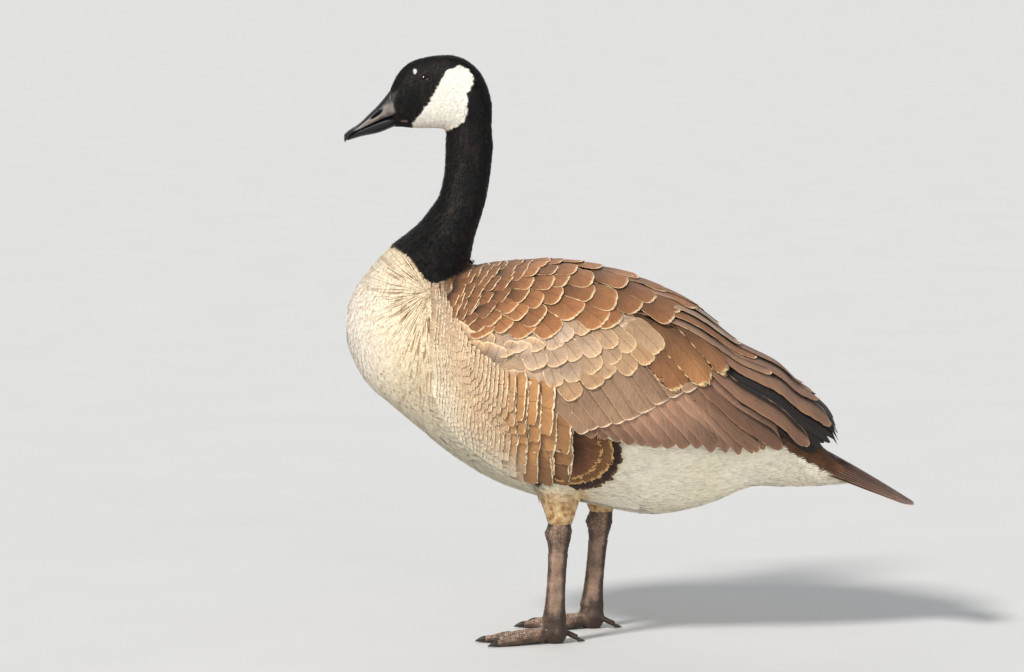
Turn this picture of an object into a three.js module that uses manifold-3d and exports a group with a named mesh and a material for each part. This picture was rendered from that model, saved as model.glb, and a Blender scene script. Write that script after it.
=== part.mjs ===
// A Canada goose, life size, standing still on both feet. Millimetres, +Z up. It faces -Y, its left side
// is +X, and the origin is on the floor under the middle of its bounding box.
import * as THREE from 'three';
import { mergeVertices } from 'three/addons/utils/BufferGeometryUtils.js';
import Module from 'manifold-3d';

const wasm = await Module();
wasm.setup();

// Driving dimensions

const GAP = 0.3;
const BREAST_Y = -284.6;
const RUMP_END_Y = 228;
const VENT_Y = -12;
const LEG_X = 45;
const ANKLE_Z = 110;
const SHANK_TOP_Z = 122.6;
const SHANK_BASE_Z = 23;
const HEAD_FRONT_Y = -240;
const HEAD_BACK_Y = -137.4;
const EYE = { y: -204, z: 560.8, x: 11.6, radius: 7.6 };
const WING_TIP_Y = 212;
const TAIL_ROOT_Y = 156;
const TAIL_TIP_Y = 285.6;

// A size that changes smoothly along one axis, through a few [place, size] pairs.
function profile(...pairs) {
  const places = pairs.map((pair) => pair[0]);
  const sizes = pairs.map((pair) => pair[1]);
  const curve = new THREE.CubicInterpolant(places, sizes, 1);
  return (place) => curve.evaluate(place)[0];
}

// Profiles of the body without its wings, along Y

const body = {
  top: profile([-285, 327], [-276, 350], [-262, 370], [-240, 386], [-205, 388], [-163, 369],
    [-120, 370], [-80, 371], [-30, 364], [30, 341], [60, 323], [90, 297], [120, 268], [150, 237],
    [180, 206], [205, 183.5], [228, 168]),
  bottom: profile([-285, 305], [-277, 279], [-263, 254], [-240, 233], [-210, 208], [-180, 184],
    [-150, 164], [-120, 149.6], [-85, 139], [-40, 132.4], [0, 123.6], [25, 121.2], [60, 126.6], [90, 136],
    [120, 149], [150, 149], [190, 149.5], [228, 152.5]),
  halfWidth: profile([-285, 14], [-276, 37], [-262, 56], [-240, 76], [-200, 94], [-165, 102],
    [-120, 106.5], [-80, 106], [-45, 102], [0, 94], [40, 83], [80, 69], [120, 54], [150, 43],
    [190, 32], [228, 15]),
  middle: profile([-285, 318], [-240, 312], [-180, 285], [-130, 265], [-70, 252], [0, 243], [60, 232],
    [110, 216], [150, 197], [190, 177], [228, 161]),
};

// Profiles of the closed wings over it

const wings = {
  top: profile([-190, 374], [-163, 371.4], [-135, 375.4], [-90, 378.5], [-60, 377.4], [-30, 372.4],
    [0, 363.8], [30, 352.4], [60, 336.8], [90, 312.5], [105, 300], [120, 292], [150, 275.5], [165, 260.5],
    [180, 251.5], [195, 240], [204, 230], [209, 217], [212, 204]),
  bottom: profile([-190, 184], [-120, 146], [0, 122], [60, 118], [120, 130], [180, 155], [212, 180]),
  halfWidth: profile([-190, 97.5], [-165, 104.5], [-130, 109.5], [-90, 112], [-50, 111], [-10, 107],
    [30, 99.5], [70, 88], [110, 74], [150, 58], [180, 45.5], [212, 27]),
  middle: profile([-190, 290], [-130, 265], [-70, 252], [-10, 240], [50, 222], [110, 205], [150, 196],
    [180, 193], [212, 189.5]),
};
const wingThickness = profile([-190, 14], [0, 13], [60, 12], [110, 10], [150, 7], [190, 4], [212, 2.5]);

// Profiles of the head, along Y, and of the neck, along Z

const head = {
  top: profile([-240, 545], [-238.3, 550.5], [-229.8, 565.5], [-219.8, 574.6], [-204.8, 580.5],
    [-189.8, 583.2], [-174.8, 582.8], [-159.8, 575.8], [-147.8, 563.5], [-141.5, 549], [-137.4, 533]),
  bottom: profile([-240, 524], [-238.3, 519.6], [-229.8, 512.4], [-219.8, 510.8], [-204.8, 510.3],
    [-174.8, 508.6], [-147.8, 508.5], [-137.4, 515]),
  halfWidth: profile([-240, 9.5], [-238.3, 11.6], [-229.8, 15], [-219.8, 17.4], [-204.8, 19],
    [-189.8, 21], [-174.8, 22.4], [-159.8, 22], [-147.8, 18.6], [-141.5, 13.2], [-137.4, 7]),
  middle: profile([-240, 534], [-219.8, 541], [-189.8, 543], [-159.8, 541], [-137.4, 526]),
};
const neck = {
  centre: profile([345, -219], [369.4, -211.8], [381.4, -204.6], [393.5, -197.8], [405.6, -188.2],
    [417.6, -179.6], [429.7, -173.2], [441.8, -167.4], [465.9, -162.4], [490, -159.6], [522, -159]),
  halfDepth: profile([345, 50], [369.4, 50], [381.4, 46], [393.5, 41.4], [405.6, 34.8], [417.6, 30],
    [429.7, 27.4], [441.8, 24.8], [465.9, 23.8], [502, 23.2], [522, 21]),
  halfWidth: profile([345, 70], [369.4, 62], [381.4, 52], [393.5, 43.5], [405.6, 36], [417.6, 30.5],
    [429.7, 26.5], [441.8, 23.6], [465.9, 21.2], [502, 20.4], [522, 19]),
};

// Profiles of the two halves of the bill, along Y

const BILL_BASE_Y = -238.3;
const BILL_TIP_Y = -284.2;
const billUpper = {
  top: profile([-284.2, 504.5], [-281, 507.5], [-276, 511], [-267, 518], [-260, 525], [-254, 530.7],
    [-249, 536], [-244, 542], [-238.3, 549.5]),
  bottom: profile([-284.2, 499], [-281, 502.6], [-277.8, 504.8], [-270, 508.6], [-258, 513.8],
    [-248, 518], [-238.3, 521.5]),
  halfWidth: profile([-284.2, 3], [-281, 7.6], [-276, 10.2], [-266, 11.4], [-254, 11.6], [-244, 12],
    [-238.3, 12.6]),
};
const billLower = {
  top: profile([-281, 502], [-270, 507.8], [-258, 513.2], [-248, 517.4], [-238.3, 520.9]),
  bottom: profile([-281, 498.9], [-276, 500.4], [-268, 502.8], [-254, 506.2], [-246, 507.8],
    [-238.3, 511], [-232, 516]),
  halfWidth: profile([-281, 4], [-274, 8.2], [-262, 9.8], [-248, 10.6], [-238.3, 11.2], [-232, 8]),
};

// Solids and surfaces

// A closed mesh as a solid with its faces pointing out.
function solid(geometry) {
  const bare = geometry.clone();
  bare.deleteAttribute('normal');
  bare.deleteAttribute('uv');
  const merged = mergeVertices(bare, 1e-3);
  const vertProperties = new Float32Array(merged.attributes.position.array);
  const triVerts = new Uint32Array(merged.index.array);
  const made = new wasm.Manifold(new wasm.Mesh({ numProp: 3, vertProperties, triVerts }));
  if (made.volume() > 0) return made;
  return new wasm.Manifold(new wasm.Mesh({ numProp: 3, vertProperties, triVerts: triVerts.reverse() }));
}

// The largest closed surface of a solid.
function largest(whole) {
  const pieces = whole.decompose();
  return pieces.reduce((best, piece) => (piece.volume() > best.volume() ? piece : best));
}

function surface(whole) {
  const mesh = largest(whole).getMesh();
  const geometry = new THREE.BufferGeometry();
  geometry.setAttribute('position', new THREE.BufferAttribute(new Float32Array(mesh.vertProperties), 3));
  geometry.setIndex(new THREE.BufferAttribute(new Uint32Array(mesh.triVerts), 1));
  geometry.computeVertexNormals();
  return geometry;
}

function join(...parts) {
  return parts.reduce((whole, part) => whole.add(part));
}

// Turns the diagonals of the quads on a cylinder's -X half, so that it is its own mirror image.
function mirrorDiagonals(geometry, sides, steps) {
  const corners = geometry.index.array;
  for (let quad = (sides / 2) * steps; quad < sides * steps; quad += 1) {
    const [a, b, d, , c] = corners.slice(quad * 6, quad * 6 + 6);
    corners.set([a, b, c, a, c, d], quad * 6);
  }
}

// A closed loft: place(along, angle, reach) gives each point, with along and reach from 0 to 1.
function loft(sides, steps, place) {
  const geometry = new THREE.CylinderGeometry(1, 1, 1, sides, steps);
  mirrorDiagonals(geometry, sides, steps);
  const points = geometry.attributes.position;
  for (let i = 0; i < points.count; i += 1) {
    const angle = Math.atan2(points.getX(i), points.getZ(i));
    const reach = Math.hypot(points.getX(i), points.getZ(i)) > 0.5 ? 1 : 0;
    const point = place(points.getY(i) + 0.5, angle, reach);
    points.setXYZ(i, point.x, point.y, point.z);
  }
  return solid(geometry);
}

function signedPower(value, power) {
  return Math.sign(value) * Math.abs(value) ** power;
}

// A point of a rounded section across the body, its angle counted from the top towards +X.
function sectionPoint(shape, y, angle, grow = 0, power = 2) {
  const middle = shape.middle(y);
  const rise = Math.cos(angle) > 0 ? shape.top(y) - middle + grow : middle - shape.bottom(y) + grow;
  const x = (shape.halfWidth(y) + grow) * signedPower(Math.sin(angle), 2 / power);
  return new THREE.Vector3(x, y, middle + rise * signedPower(Math.cos(angle), 2 / power));
}

// A body of rounded sections from one Y to another, with its stations closer at both ends.
function bodyLoft(shape, from, to, { sides = 26, steps = 26, grow = 0, power = 2 } = {}) {
  return loft(sides, steps, (along, angle, reach) => {
    const eased = (1 - Math.cos(Math.PI * along)) / 2;
    const y = from + (to - from) * (0.45 * along + 0.55 * eased);
    const inflate = typeof grow === 'function' ? grow(y) : grow;
    const rim = sectionPoint(shape, y, angle, inflate, power);
    const hub = new THREE.Vector3(0, y, (shape.top(y) + shape.bottom(y)) / 2);
    return reach ? rim : hub;
  });
}

// A thin closed plate: place(across, along, face) gives each point, with across from -1 to 1, along from
// 0 to 1 and face 1 above and 0 below. Both faces are split into triangles alike.
function plate(columns, rows, place) {
  const grid = new THREE.PlaneGeometry(2, 1, columns, rows);
  const flat = grid.attributes.position;
  const corners = grid.index.array;
  const points = [];
  const faces = [];
  for (const face of [1, 0]) {
    for (let i = 0; i < flat.count; i += 1) {
      points.push(...place(flat.getX(i), flat.getY(i) + 0.5, face).toArray());
    }
  }
  for (let i = 0; i < corners.length; i += 3) {
    const [a, b, c] = corners.slice(i, i + 3);
    faces.push(a, b, c, flat.count + c, flat.count + b, flat.count + a);
  }
  const rim = [];
  for (let column = 0; column < columns; column += 1) rim.push(column);
  for (let row = 0; row < rows; row += 1) rim.push(row * (columns + 1) + columns);
  for (let column = columns; column > 0; column -= 1) rim.push(rows * (columns + 1) + column);
  for (let row = rows; row > 0; row -= 1) rim.push(row * (columns + 1));
  rim.forEach((a, i) => {
    const b = rim[(i + 1) % rim.length];
    faces.push(a, b, flat.count + b, a, flat.count + b, flat.count + a);
  });
  const geometry = new THREE.BufferGeometry();
  geometry.setAttribute('position', new THREE.Float32BufferAttribute(points, 3));
  geometry.setIndex(faces);
  return solid(geometry);
}

// A column of oval sections from one Z to another.
function columnLoft(shape, from, to, { sides = 12, steps = 12, grow = 0, x = 0 } = {}) {
  return loft(sides, steps, (along, angle, reach) => {
    const z = from + (to - from) * along;
    const across = reach * (shape.halfWidth(z) + grow) * Math.sin(angle);
    const depth = reach * (shape.halfDepth(z) + grow) * Math.cos(angle);
    const centreX = shape.centreX ? shape.centreX(z) : x;
    return new THREE.Vector3(centreX + across, shape.centre(z) + depth, z);
  });
}

// An outline in the side view, of [y, z] points, as a prism across X.
function sidePrism(outline, fromX, toX) {
  const shape = new THREE.Shape(outline.map(([y, z]) => new THREE.Vector2(y, z)));
  const geometry = new THREE.ExtrudeGeometry(shape, { depth: toX - fromX, bevelEnabled: false });
  geometry.applyMatrix4(new THREE.Matrix4().makeBasis(
    new THREE.Vector3(0, 1, 0),
    new THREE.Vector3(0, 0, 1),
    new THREE.Vector3(1, 0, 0),
  ));
  geometry.translate(fromX, 0, 0);
  return solid(geometry);
}

// The two parts of a solid on either side of a plane, with the gap between them.
function part(whole, normal, point) {
  const [nx, ny, nz] = normal;
  const length = Math.hypot(nx, ny, nz);
  const unit = [nx / length, ny / length, nz / length];
  const offset = unit[0] * point[0] + unit[1] * point[1] + unit[2] * point[2];
  const back = unit.map((value) => -value);
  return [whole.trimByPlane(unit, offset + GAP / 2), whole.trimByPlane(back, GAP / 2 - offset)];
}

function mirror(whole) {
  return whole.mirror([1, 0, 0]);
}

// Head, neck and trunk, modelled whole

const trunk = bodyLoft(body, BREAST_Y, RUMP_END_Y);
const trunkClear = bodyLoft(body, BREAST_Y, RUMP_END_Y, { grow: GAP });
const neckWhole = columnLoft(neck, 345, 522, { sides: 18, steps: 12 });
const headForm = { sides: 20, steps: 14, power: 2.15 };
const headBall = bodyLoft(head, HEAD_FRONT_Y, HEAD_BACK_Y, headForm);
const headClear = bodyLoft(head, HEAD_FRONT_Y, HEAD_BACK_Y, { ...headForm, grow: GAP });

// The eyes, their sockets and the lids round them

function ball(radius, centre) {
  const geometry = new THREE.SphereGeometry(radius, 14, 8);
  geometry.rotateZ(Math.PI / 2);
  geometry.translate(...centre);
  return solid(geometry);
}

// The lids, one ring that stands a little out of the head round the eye.
function lid() {
  const ring = new THREE.TorusGeometry(0.88 * EYE.radius, 0.95, 5, 9);
  ring.scale(1.04, 0.94, 1);
  ring.rotateY(Math.PI / 2);
  ring.translate(EYE.x + 0.74 * EYE.radius, EYE.y, EYE.z);
  return solid(ring);
}

const eyeCentre = [EYE.x, EYE.y, EYE.z];
const eyeLeft = ball(EYE.radius, eyeCentre);
const socketLeft = ball(EYE.radius + GAP, eyeCentre);
const lidRing = lid();

const headAndNeck = join(headBall, neckWhole, lidRing, mirror(lidRing))
  .subtract(socketLeft)
  .subtract(mirror(socketLeft));
const neckZone = sidePrism([[-290, 412], [-159, 371.4], [-110, 420], [-110, 620], [-290, 620]], -120, 120);
const [headBlock, neckBelow] = part(headAndNeck, [0, -0.12, 1], [0, -162, 507]);
const [neckUpper, neckBase] = part(neckBelow, [0, 0.25, 1], [0, -164, 452]);
const neckAndTrunk = join(neckBase, trunk);
const neckLower = neckAndTrunk.intersect(neckZone);
const trunkBlock = neckAndTrunk.subtract(neckZone.translate([0, GAP, -GAP]));

// The white strap from ear to ear under the throat, a shell let into the head

const STRAP_DEPTH = 3;
const strapOutline = [[-171, 575], [-184, 569], [-193, 553], [-203, 535], [-218, 517], [-216, 502],
  [-190, 501], [-178, 502], [-166, 521], [-162, 536], [-163.5, 547], [-157, 558], [-157.5, 566], [-163, 572]];

function grownOutline(outline, grow) {
  const centre = new THREE.Vector2();
  outline.forEach(([y, z]) => centre.add(new THREE.Vector2(y, z).divideScalar(outline.length)));
  return outline.map(([y, z]) => {
    const away = new THREE.Vector2(y, z).sub(centre);
    away.setLength(away.length() + grow);
    return [centre.x + away.x, centre.y + away.y];
  });
}

// What lies deeper than the strap in the head and the top of the neck.
function headCore(depth) {
  const skull = bodyLoft(head, -236, -141, { sides: 10, steps: 6, power: 2.15, grow: -depth });
  return join(skull, columnLoft(neck, 495, 530, { sides: 10, steps: 1, grow: -depth }));
}

const strap = headBlock.intersect(sidePrism(strapOutline, -40, 40)).subtract(headCore(STRAP_DEPTH));
const strapSeat = sidePrism(grownOutline(strapOutline, GAP), -40, 40)
  .subtract(headCore(STRAP_DEPTH + GAP));
const headNode = headBlock.subtract(strapSeat);

// The bill, its nail and nostrils

function billLoft(shape, from, to, grow = 0) {
  return loft(14, 9, (along, angle, reach) => {
    const eased = Math.sin(along * Math.PI / 2);
    const y = to + (from - to) * eased;
    const middle = (shape.top(y) + 2 * shape.bottom(y)) / 3;
    const rise = Math.cos(angle) > 0 ? shape.top(y) - middle : middle - shape.bottom(y);
    const x = reach * (shape.halfWidth(y) + grow) * signedPower(Math.sin(angle), 0.85);
    return new THREE.Vector3(x, y, middle + reach * (rise + grow) * signedPower(Math.cos(angle), 0.85));
  });
}

function nail(grow = 0) {
  const geometry = new THREE.SphereGeometry(5.2 + grow, 10, 6);
  geometry.scale(0.95, 1, 0.8);
  geometry.rotateX(-0.7);
  geometry.translate(0, BILL_TIP_Y + 4.6, 503.2);
  return solid(geometry);
}

function nostril() {
  const geometry = new THREE.CapsuleGeometry(1.9, 8.5, 2, 6);
  geometry.scale(1, 1, 0.75);
  geometry.rotateX(0.58);
  geometry.translate(10.4, -252, 524.6);
  return solid(geometry);
}

const billUpperNode = join(billLoft(billUpper, BILL_TIP_Y, BILL_BASE_Y + 14), nail())
  .subtract(headClear)
  .subtract(nostril())
  .subtract(mirror(nostril()));
const billLowerNode = billLoft(billLower, -281, BILL_BASE_Y + 6)
  .subtract(headClear)
  .subtract(join(billLoft(billUpper, BILL_TIP_Y, BILL_BASE_Y + 14, GAP), nail(GAP)));

// The tail fan over the cut under which the vent lies

const TAIL_SLOPE = 0.514;
const tailSeat = sidePrism([[TAIL_ROOT_Y, 186], [TAIL_ROOT_Y, 330], [330, 330], [330, 186 - 174 * TAIL_SLOPE]],
  -60, 60);
const tailStem = {
  top: profile([TAIL_ROOT_Y, 211], [180, 198], [205, 182], [222, 169]),
  bottom: profile([TAIL_ROOT_Y, 184], [190, 168], [222, 153]),
  halfWidth: profile([TAIL_ROOT_Y, 26], [200, 27], [222, 24]),
  middle: profile([TAIL_ROOT_Y, 198], [190, 182], [222, 163]),
};
const FAN = { pairs: 4, width: 27, thick: 1.3, rootY: 186, rootZ: 191, slope: 0.5, bend: 0.0006 };

// One tail feather, counted out from the middle pair, each a little lower than the last.
function tailFeather(number, sign) {
  const turn = sign * 0.056 * (number + 0.3);
  const length = (TAIL_TIP_Y - FAN.rootY) * (1 - 0.006 * number ** 2);
  const breadth = profile([0, 0.6], [0.4, 1], [0.75, 0.95], [0.93, 0.62], [1, 0.2]);
  return plate(1, 3, (across, along, face) => {
    const reach = 1 - (1 - along) ** 1.4;
    const out = 0.5 * FAN.width * breadth(reach) * across;
    const x = sign * (1.6 + 3.7 * number) + Math.sin(turn) * length * reach + Math.cos(turn) * out;
    const y = FAN.rootY + Math.cos(turn) * length * reach - Math.sin(turn) * out;
    const fall = (FAN.slope + FAN.bend * (y - FAN.rootY)) * (y - FAN.rootY);
    const step = (5.3 - 5.4 * reach) * number;
    const arch = 0.01 * (1 - 0.6 * reach) * x * x;
    return new THREE.Vector3(x, y, FAN.rootZ - fall - step - arch - (face ? 0 : FAN.thick));
  });
}

const fan = [];
for (let number = 0; number < FAN.pairs; number += 1) {
  fan.push(tailFeather(number, 1), tailFeather(number, -1));
}
const tailForm = { sides: 12, steps: 4 };
const tailCore = bodyLoft(tailStem, TAIL_ROOT_Y - 4, 222, tailForm);
const tailClear = bodyLoft(tailStem, TAIL_ROOT_Y - 4, 222, { ...tailForm, grow: 0.5 });
const tailNode = join(tailCore.subtract(trunkClear.subtract(tailSeat)), join(...fan).subtract(trunkClear))
  .trimByPlane([0, 1, 0], TAIL_ROOT_Y + GAP);

const [rumpBlock, torsoBlock] = part(trunkBlock, [0, 1, 0.12], [0, VENT_Y, 200]);
const rumpNode = rumpBlock.subtract(tailSeat.intersect(tailClear));

// The closed wings: the folded arm as a shell over the trunk, and its feathers in tiers

// The point on the outside of the closed wing at Y, so far down its side from the ridge, and raised.
function wingPoint(y, drop, lift) {
  const slices = 20;
  let angle = 0;
  let walked = 0;
  let last = sectionPoint(wings, y, 0);
  for (let i = 1; i <= slices && walked < Math.abs(drop); i += 1) {
    const next = sectionPoint(wings, y, (i * Math.PI) / slices);
    const step = next.distanceTo(last);
    angle = ((i - 1 + Math.min(1, (Math.abs(drop) - walked) / step)) * Math.PI) / slices;
    walked += step;
    last = next;
  }
  angle *= Math.sign(drop);
  const around = sectionPoint(wings, y, angle + 0.02).sub(sectionPoint(wings, y, angle - 0.02));
  const along = sectionPoint(wings, y + 1, angle).sub(sectionPoint(wings, y - 1, angle));
  return sectionPoint(wings, y, angle).addScaledVector(around.cross(along).normalize(), lift);
}

// A feather from its root to its tip, both [y, drop] on the wing, its root sunk in what is under it.
function wingFeather(root, tip, { width, thick, sink, lift, tilt = 0, point = 0.2, columns = 1, rows = 2 }) {
  const shaft = new THREE.Vector2().subVectors(tip, root);
  const side = new THREE.Vector2(-shaft.y, shaft.x).normalize();
  const breadth = profile([0, 0.55], [0.35, 0.94], [0.65, 1], [0.88, 0.55 + 1.1 * point], [1, point]);
  const rise = profile([0, -sink], [0.3, 0.15 * lift], [0.65, 0.7 * lift], [1, lift]);
  return plate(columns, rows, (across, along, face) => {
    const reach = 1 - (1 - along) ** 1.5;
    const place = root.clone().addScaledVector(shaft, reach);
    place.addScaledVector(side, 0.5 * width * breadth(reach) * across);
    const camber = (columns > 1 ? -0.9 * across ** 2 : 0) + tilt * across;
    return wingPoint(place.x, place.y, rise(reach) + camber - (face ? 0 : thick));
  });
}

// Roots and tips run through [y, drop] at the first, a middle and the last feather of a tier.
const TIERS = [
  { count: 3, width: 23, thick: 1.4, sink: 6, lift: -3, tilt: 0.9, point: 0.1, rows: 3,
    roots: [[78, 78], [76, 50], [74, 20]], tips: [[208, 38], [210, 26], [209, 14]] },
  { count: 6, width: 32, thick: 1.4, sink: 5, lift: 0.4, tilt: -1.2, rows: 3,
    roots: [[-45, 190], [5, 160], [48, 112]], tips: [[19, 208], [82, 171], [152, 107]] },
  { count: 4, width: 27, thick: 1.4, sink: 4.5, lift: 0.9, tilt: -0.9, columns: 2, rows: 3,
    roots: [[58, 112], [76, 64], [68, 16]], tips: [[174, 78], [198, 35], [173, 12]] },
  { count: 4, width: 40, thick: 4.6, sink: 3, lift: 2.6,
    roots: [[-78, 182], [-40, 150], [14, 104]], tips: [[-38, 210], [4, 184], [54, 130]] },
  { count: 3, width: 32, thick: 5, sink: 3, lift: 2.6,
    roots: [[10, 94], [26, 78], [42, 60]], tips: [[57, 118], [78, 98], [94, 72]] },
  { count: 3, width: 44, thick: 4.8, sink: 3, lift: 2.6,
    roots: [[-86, 168], [-46, 128], [2, 74]], tips: [[-58, 188], [-12, 154], [38, 96]] },
  { count: 3, width: 42, thick: 4.8, sink: 2.5, lift: 2.6,
    roots: [[-156, 128], [-108, 142], [-52, 112]], tips: [[-122, 157], [-78, 172], [-20, 136]] },
  { count: 3, width: 42, thick: 4.8, sink: 2.5, lift: 2.6,
    roots: [[-164, 84], [-120, 88], [-62, 66]], tips: [[-138, 120], [-90, 122], [-26, 104]] },
  { count: 3, width: 44, thick: 5, sink: 2.5, lift: 2.2,
    roots: [[-146, 44], [-88, 46], [-30, 36]], tips: [[-112, 80], [-50, 84], [14, 72]] },
  { count: 3, width: 44, thick: 5, sink: 2.5, lift: 1,
    roots: [[-112, 12], [-50, 14], [8, 14]], tips: [[-72, 42], [-8, 42], [54, 40]] },
  { count: 2, width: 32, thick: 4.6, sink: 3, lift: 1,
    roots: [[14, 50], [44, 16]], tips: [[70, 66], [100, 26]] },
];

function tierFeathers(tier, number) {
  const path = (points) => new THREE.SplineCurve(points.map(([y, drop]) => new THREE.Vector2(y, drop)));
  const roots = path(tier.roots);
  const tips = path(tier.tips);
  const feathers = [];
  for (let i = 0; i < tier.count; i += 1) {
    const along = i / (tier.count - 1);
    const draw = (kind) => THREE.MathUtils.seededRandom(97 * number + 7 * i + kind) - 0.5;
    const tip = tips.getPoint(along).add(new THREE.Vector2(3 * draw(1), 3 * draw(2)));
    const width = tier.width * (1 + 0.12 * draw(3));
    feathers.push(wingFeather(roots.getPoint(along), tip, { ...tier, width }));
  }
  return feathers;
}

const armOutline = [[-128, 400], [-152, 376], [-170, 350], [-174, 310], [-168, 281], [-130, 274],
  [-85, 256], [-50, 236], [-27, 212], [12, 206], [44, 216], [76, 238], [96, 264], [104, 292], [98, 330],
  [60, 400]];
const wingOver = bodyLoft(wings, -190, WING_TIP_Y, { sides: 18, steps: 13 });
const wingUnder = bodyLoft(wings, -190, WING_TIP_Y, {
  sides: 18, steps: 13, grow: (y) => -wingThickness(y),
});
const arm = wingOver.intersect(sidePrism(armOutline, -20, 140)).subtract(wingUnder);
const wingLeftNode = join(arm, ...TIERS.flatMap(tierFeathers))
  .subtract(trunkClear)
  .subtract(tailClear)
  .trimByPlane([1, 0, 0], GAP / 2);

// Legs: a feathered thigh, a bare shank and a webbed foot with its claws

function legShape(ankleY, footY) {
  const lean = (z) => footY + (ankleY - footY) * ((z - SHANK_BASE_Z) / (ANKLE_Z - SHANK_BASE_Z));
  return {
    centre: lean,
    halfDepth: profile([12, 12.6], [24, 12.6], [34, 10.9], [48, 10], [72, 9.7], [88, 10.2], [98, 11.4],
      [106, 13], [113, 13.4], [120, 12.2], [123, 12]),
    halfWidth: profile([12, 9.6], [24, 8.8], [34, 6.8], [48, 6.1], [72, 6], [88, 6.8], [98, 8.6],
      [106, 10], [113, 10.2], [120, 9.6], [123, 9.4]),
  };
}

function thighShape(ankleY) {
  return {
    centre: profile([122, ankleY + 0.5], [145, ankleY], [175, ankleY - 2], [215, ankleY - 6]),
    halfDepth: profile([122, 12.6], [134, 16.4], [146, 21], [160, 26], [185, 32], [215, 30]),
    halfWidth: profile([122, 10.4], [134, 14], [146, 18], [160, 21], [185, 24], [215, 22]),
    centreX: profile([122, LEG_X], [145, LEG_X + 1], [175, LEG_X + 5], [215, LEG_X + 8]),
  };
}

const TOES = [
  { name: 'inner', angle: -0.46, length: 56, radius: 5.9 },
  { name: 'middle', angle: -0.02, length: 69, radius: 6.6 },
  { name: 'outer', angle: 0.4, length: 62, radius: 6.1 },
];
const SOLE = 0.7;
const FLOOR_CLEAR = 0.05;

// A toe from the foot joint forwards, scuted above, with a pad under each joint.
function toe({ angle, length, radius }) {
  const forward = new THREE.Vector3(Math.sin(angle), -Math.cos(angle), 0);
  const side = new THREE.Vector3(Math.cos(angle), Math.sin(angle), 0);
  const thick = profile([0, 1.35], [0.25, 1], [0.4, 1.12], [0.55, 0.86], [0.7, 1], [0.84, 0.74], [1, 0.62]);
  return loft(8, 9, (along, turn, reach) => {
    const girth = radius * thick(along);
    const height = girth - SOLE + 6.5 * (1 - along) ** 3;
    const point = forward.clone().multiplyScalar(length * along);
    point.addScaledVector(side, reach * girth * Math.sin(turn));
    point.z = height + reach * girth * 0.95 * Math.cos(turn);
    return point;
  });
}

function toeTip({ angle, length }) {
  return [Math.sin(angle) * length, -Math.cos(angle) * length];
}

// The web between two toes, a thin sheet with a hollow front edge.
function web(first, second) {
  const [x1, y1] = toeTip({ ...first, length: first.length * 0.93 });
  const [x2, y2] = toeTip({ ...second, length: second.length * 0.93 });
  const shape = new THREE.Shape();
  shape.moveTo(0, 0);
  shape.lineTo(x2, y2);
  shape.quadraticCurveTo((x1 + x2) * 0.37, (y1 + y2) * 0.37, x1, y1);
  const geometry = new THREE.ExtrudeGeometry(shape, { depth: 2.2, bevelEnabled: false, curveSegments: 5 });
  geometry.translate(0, 0, 1.8);
  return solid(geometry);
}

// The small hind toe runs back and down from the foot joint until its claw meets the floor.
const HIND = { x: -4.5, fromY: 8, fromZ: 13, toY: 24, toZ: 4.4, radius: 3.5 };

function hindToe() {
  return loft(6, 4, (along, turn, reach) => new THREE.Vector3(
    HIND.x + reach * HIND.radius * Math.sin(turn),
    HIND.fromY + (HIND.toY - HIND.fromY) * along,
    HIND.fromZ + (HIND.toZ - HIND.fromZ) * along ** 0.8 + reach * HIND.radius * Math.cos(turn),
  ));
}

function jointBlock() {
  const geometry = new THREE.SphereGeometry(1, 10, 7);
  geometry.scale(10.6, 13.2, 17);
  geometry.translate(0, 0, 12);
  return solid(geometry);
}

function footWhole() {
  const toes = TOES.map(toe);
  const webs = [web(TOES[0], TOES[1]), web(TOES[1], TOES[2])];
  return join(jointBlock(), hindToe(), ...toes, ...webs).trimByPlane([0, 0, 1], 0);
}

// A claw that goes on where its toe ends and bends down to the floor.
function claw({ angle, length, radius }) {
  const forward = new THREE.Vector3(Math.sin(angle), -Math.cos(angle), 0);
  const side = new THREE.Vector3(Math.cos(angle), Math.sin(angle), 0);
  const base = radius * 0.55;
  return loft(6, 4, (along, turn, reach) => {
    const girth = base * (1 - 0.82 * along ** 1.6);
    const point = forward.clone().multiplyScalar(length + GAP + 11 * along);
    point.addScaledVector(side, reach * girth * 0.8 * Math.sin(turn));
    point.z = Math.max(FLOOR_CLEAR, base * 1.05 - 2.2 * along ** 2 + reach * girth * Math.cos(turn));
    return point;
  });
}

function hindClaw() {
  return loft(6, 3, (along, turn, reach) => {
    const girth = 2.5 * (1 - 0.8 * along ** 1.5);
    const z = HIND.toZ - 1.2 - 1.6 * along + reach * girth * Math.cos(turn);
    return new THREE.Vector3(HIND.x + reach * girth * 0.8 * Math.sin(turn), HIND.toY + GAP + 8 * along,
      Math.max(FLOOR_CLEAR, z));
  });
}

const LEGS = [
  { side: 'left', sign: 1, ankleY: -70.4, footY: -75.2 },
  { side: 'right', sign: -1, ankleY: -28, footY: -36.4 },
];

const goose = new THREE.Group();

function add(name, whole, colour, roughness) {
  const material = new THREE.MeshStandardMaterial({ color: colour, roughness, metalness: 0 });
  const mesh = new THREE.Mesh(surface(whole), material);
  mesh.name = name;
  goose.add(mesh);
}

const BLACK = 0x17130f;
const WHITE = 0xf1ebdc;
const CREAM = 0xcdb491;
const BROWN = 0x7c5a3e;
const DARK_BROWN = 0x3d2a20;
const LEG = 0x2c2622;
const BILL = 0x1d1c1f;
const CLAW = 0x1f1b18;
const EYE_COLOUR = 0x120b07;

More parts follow.
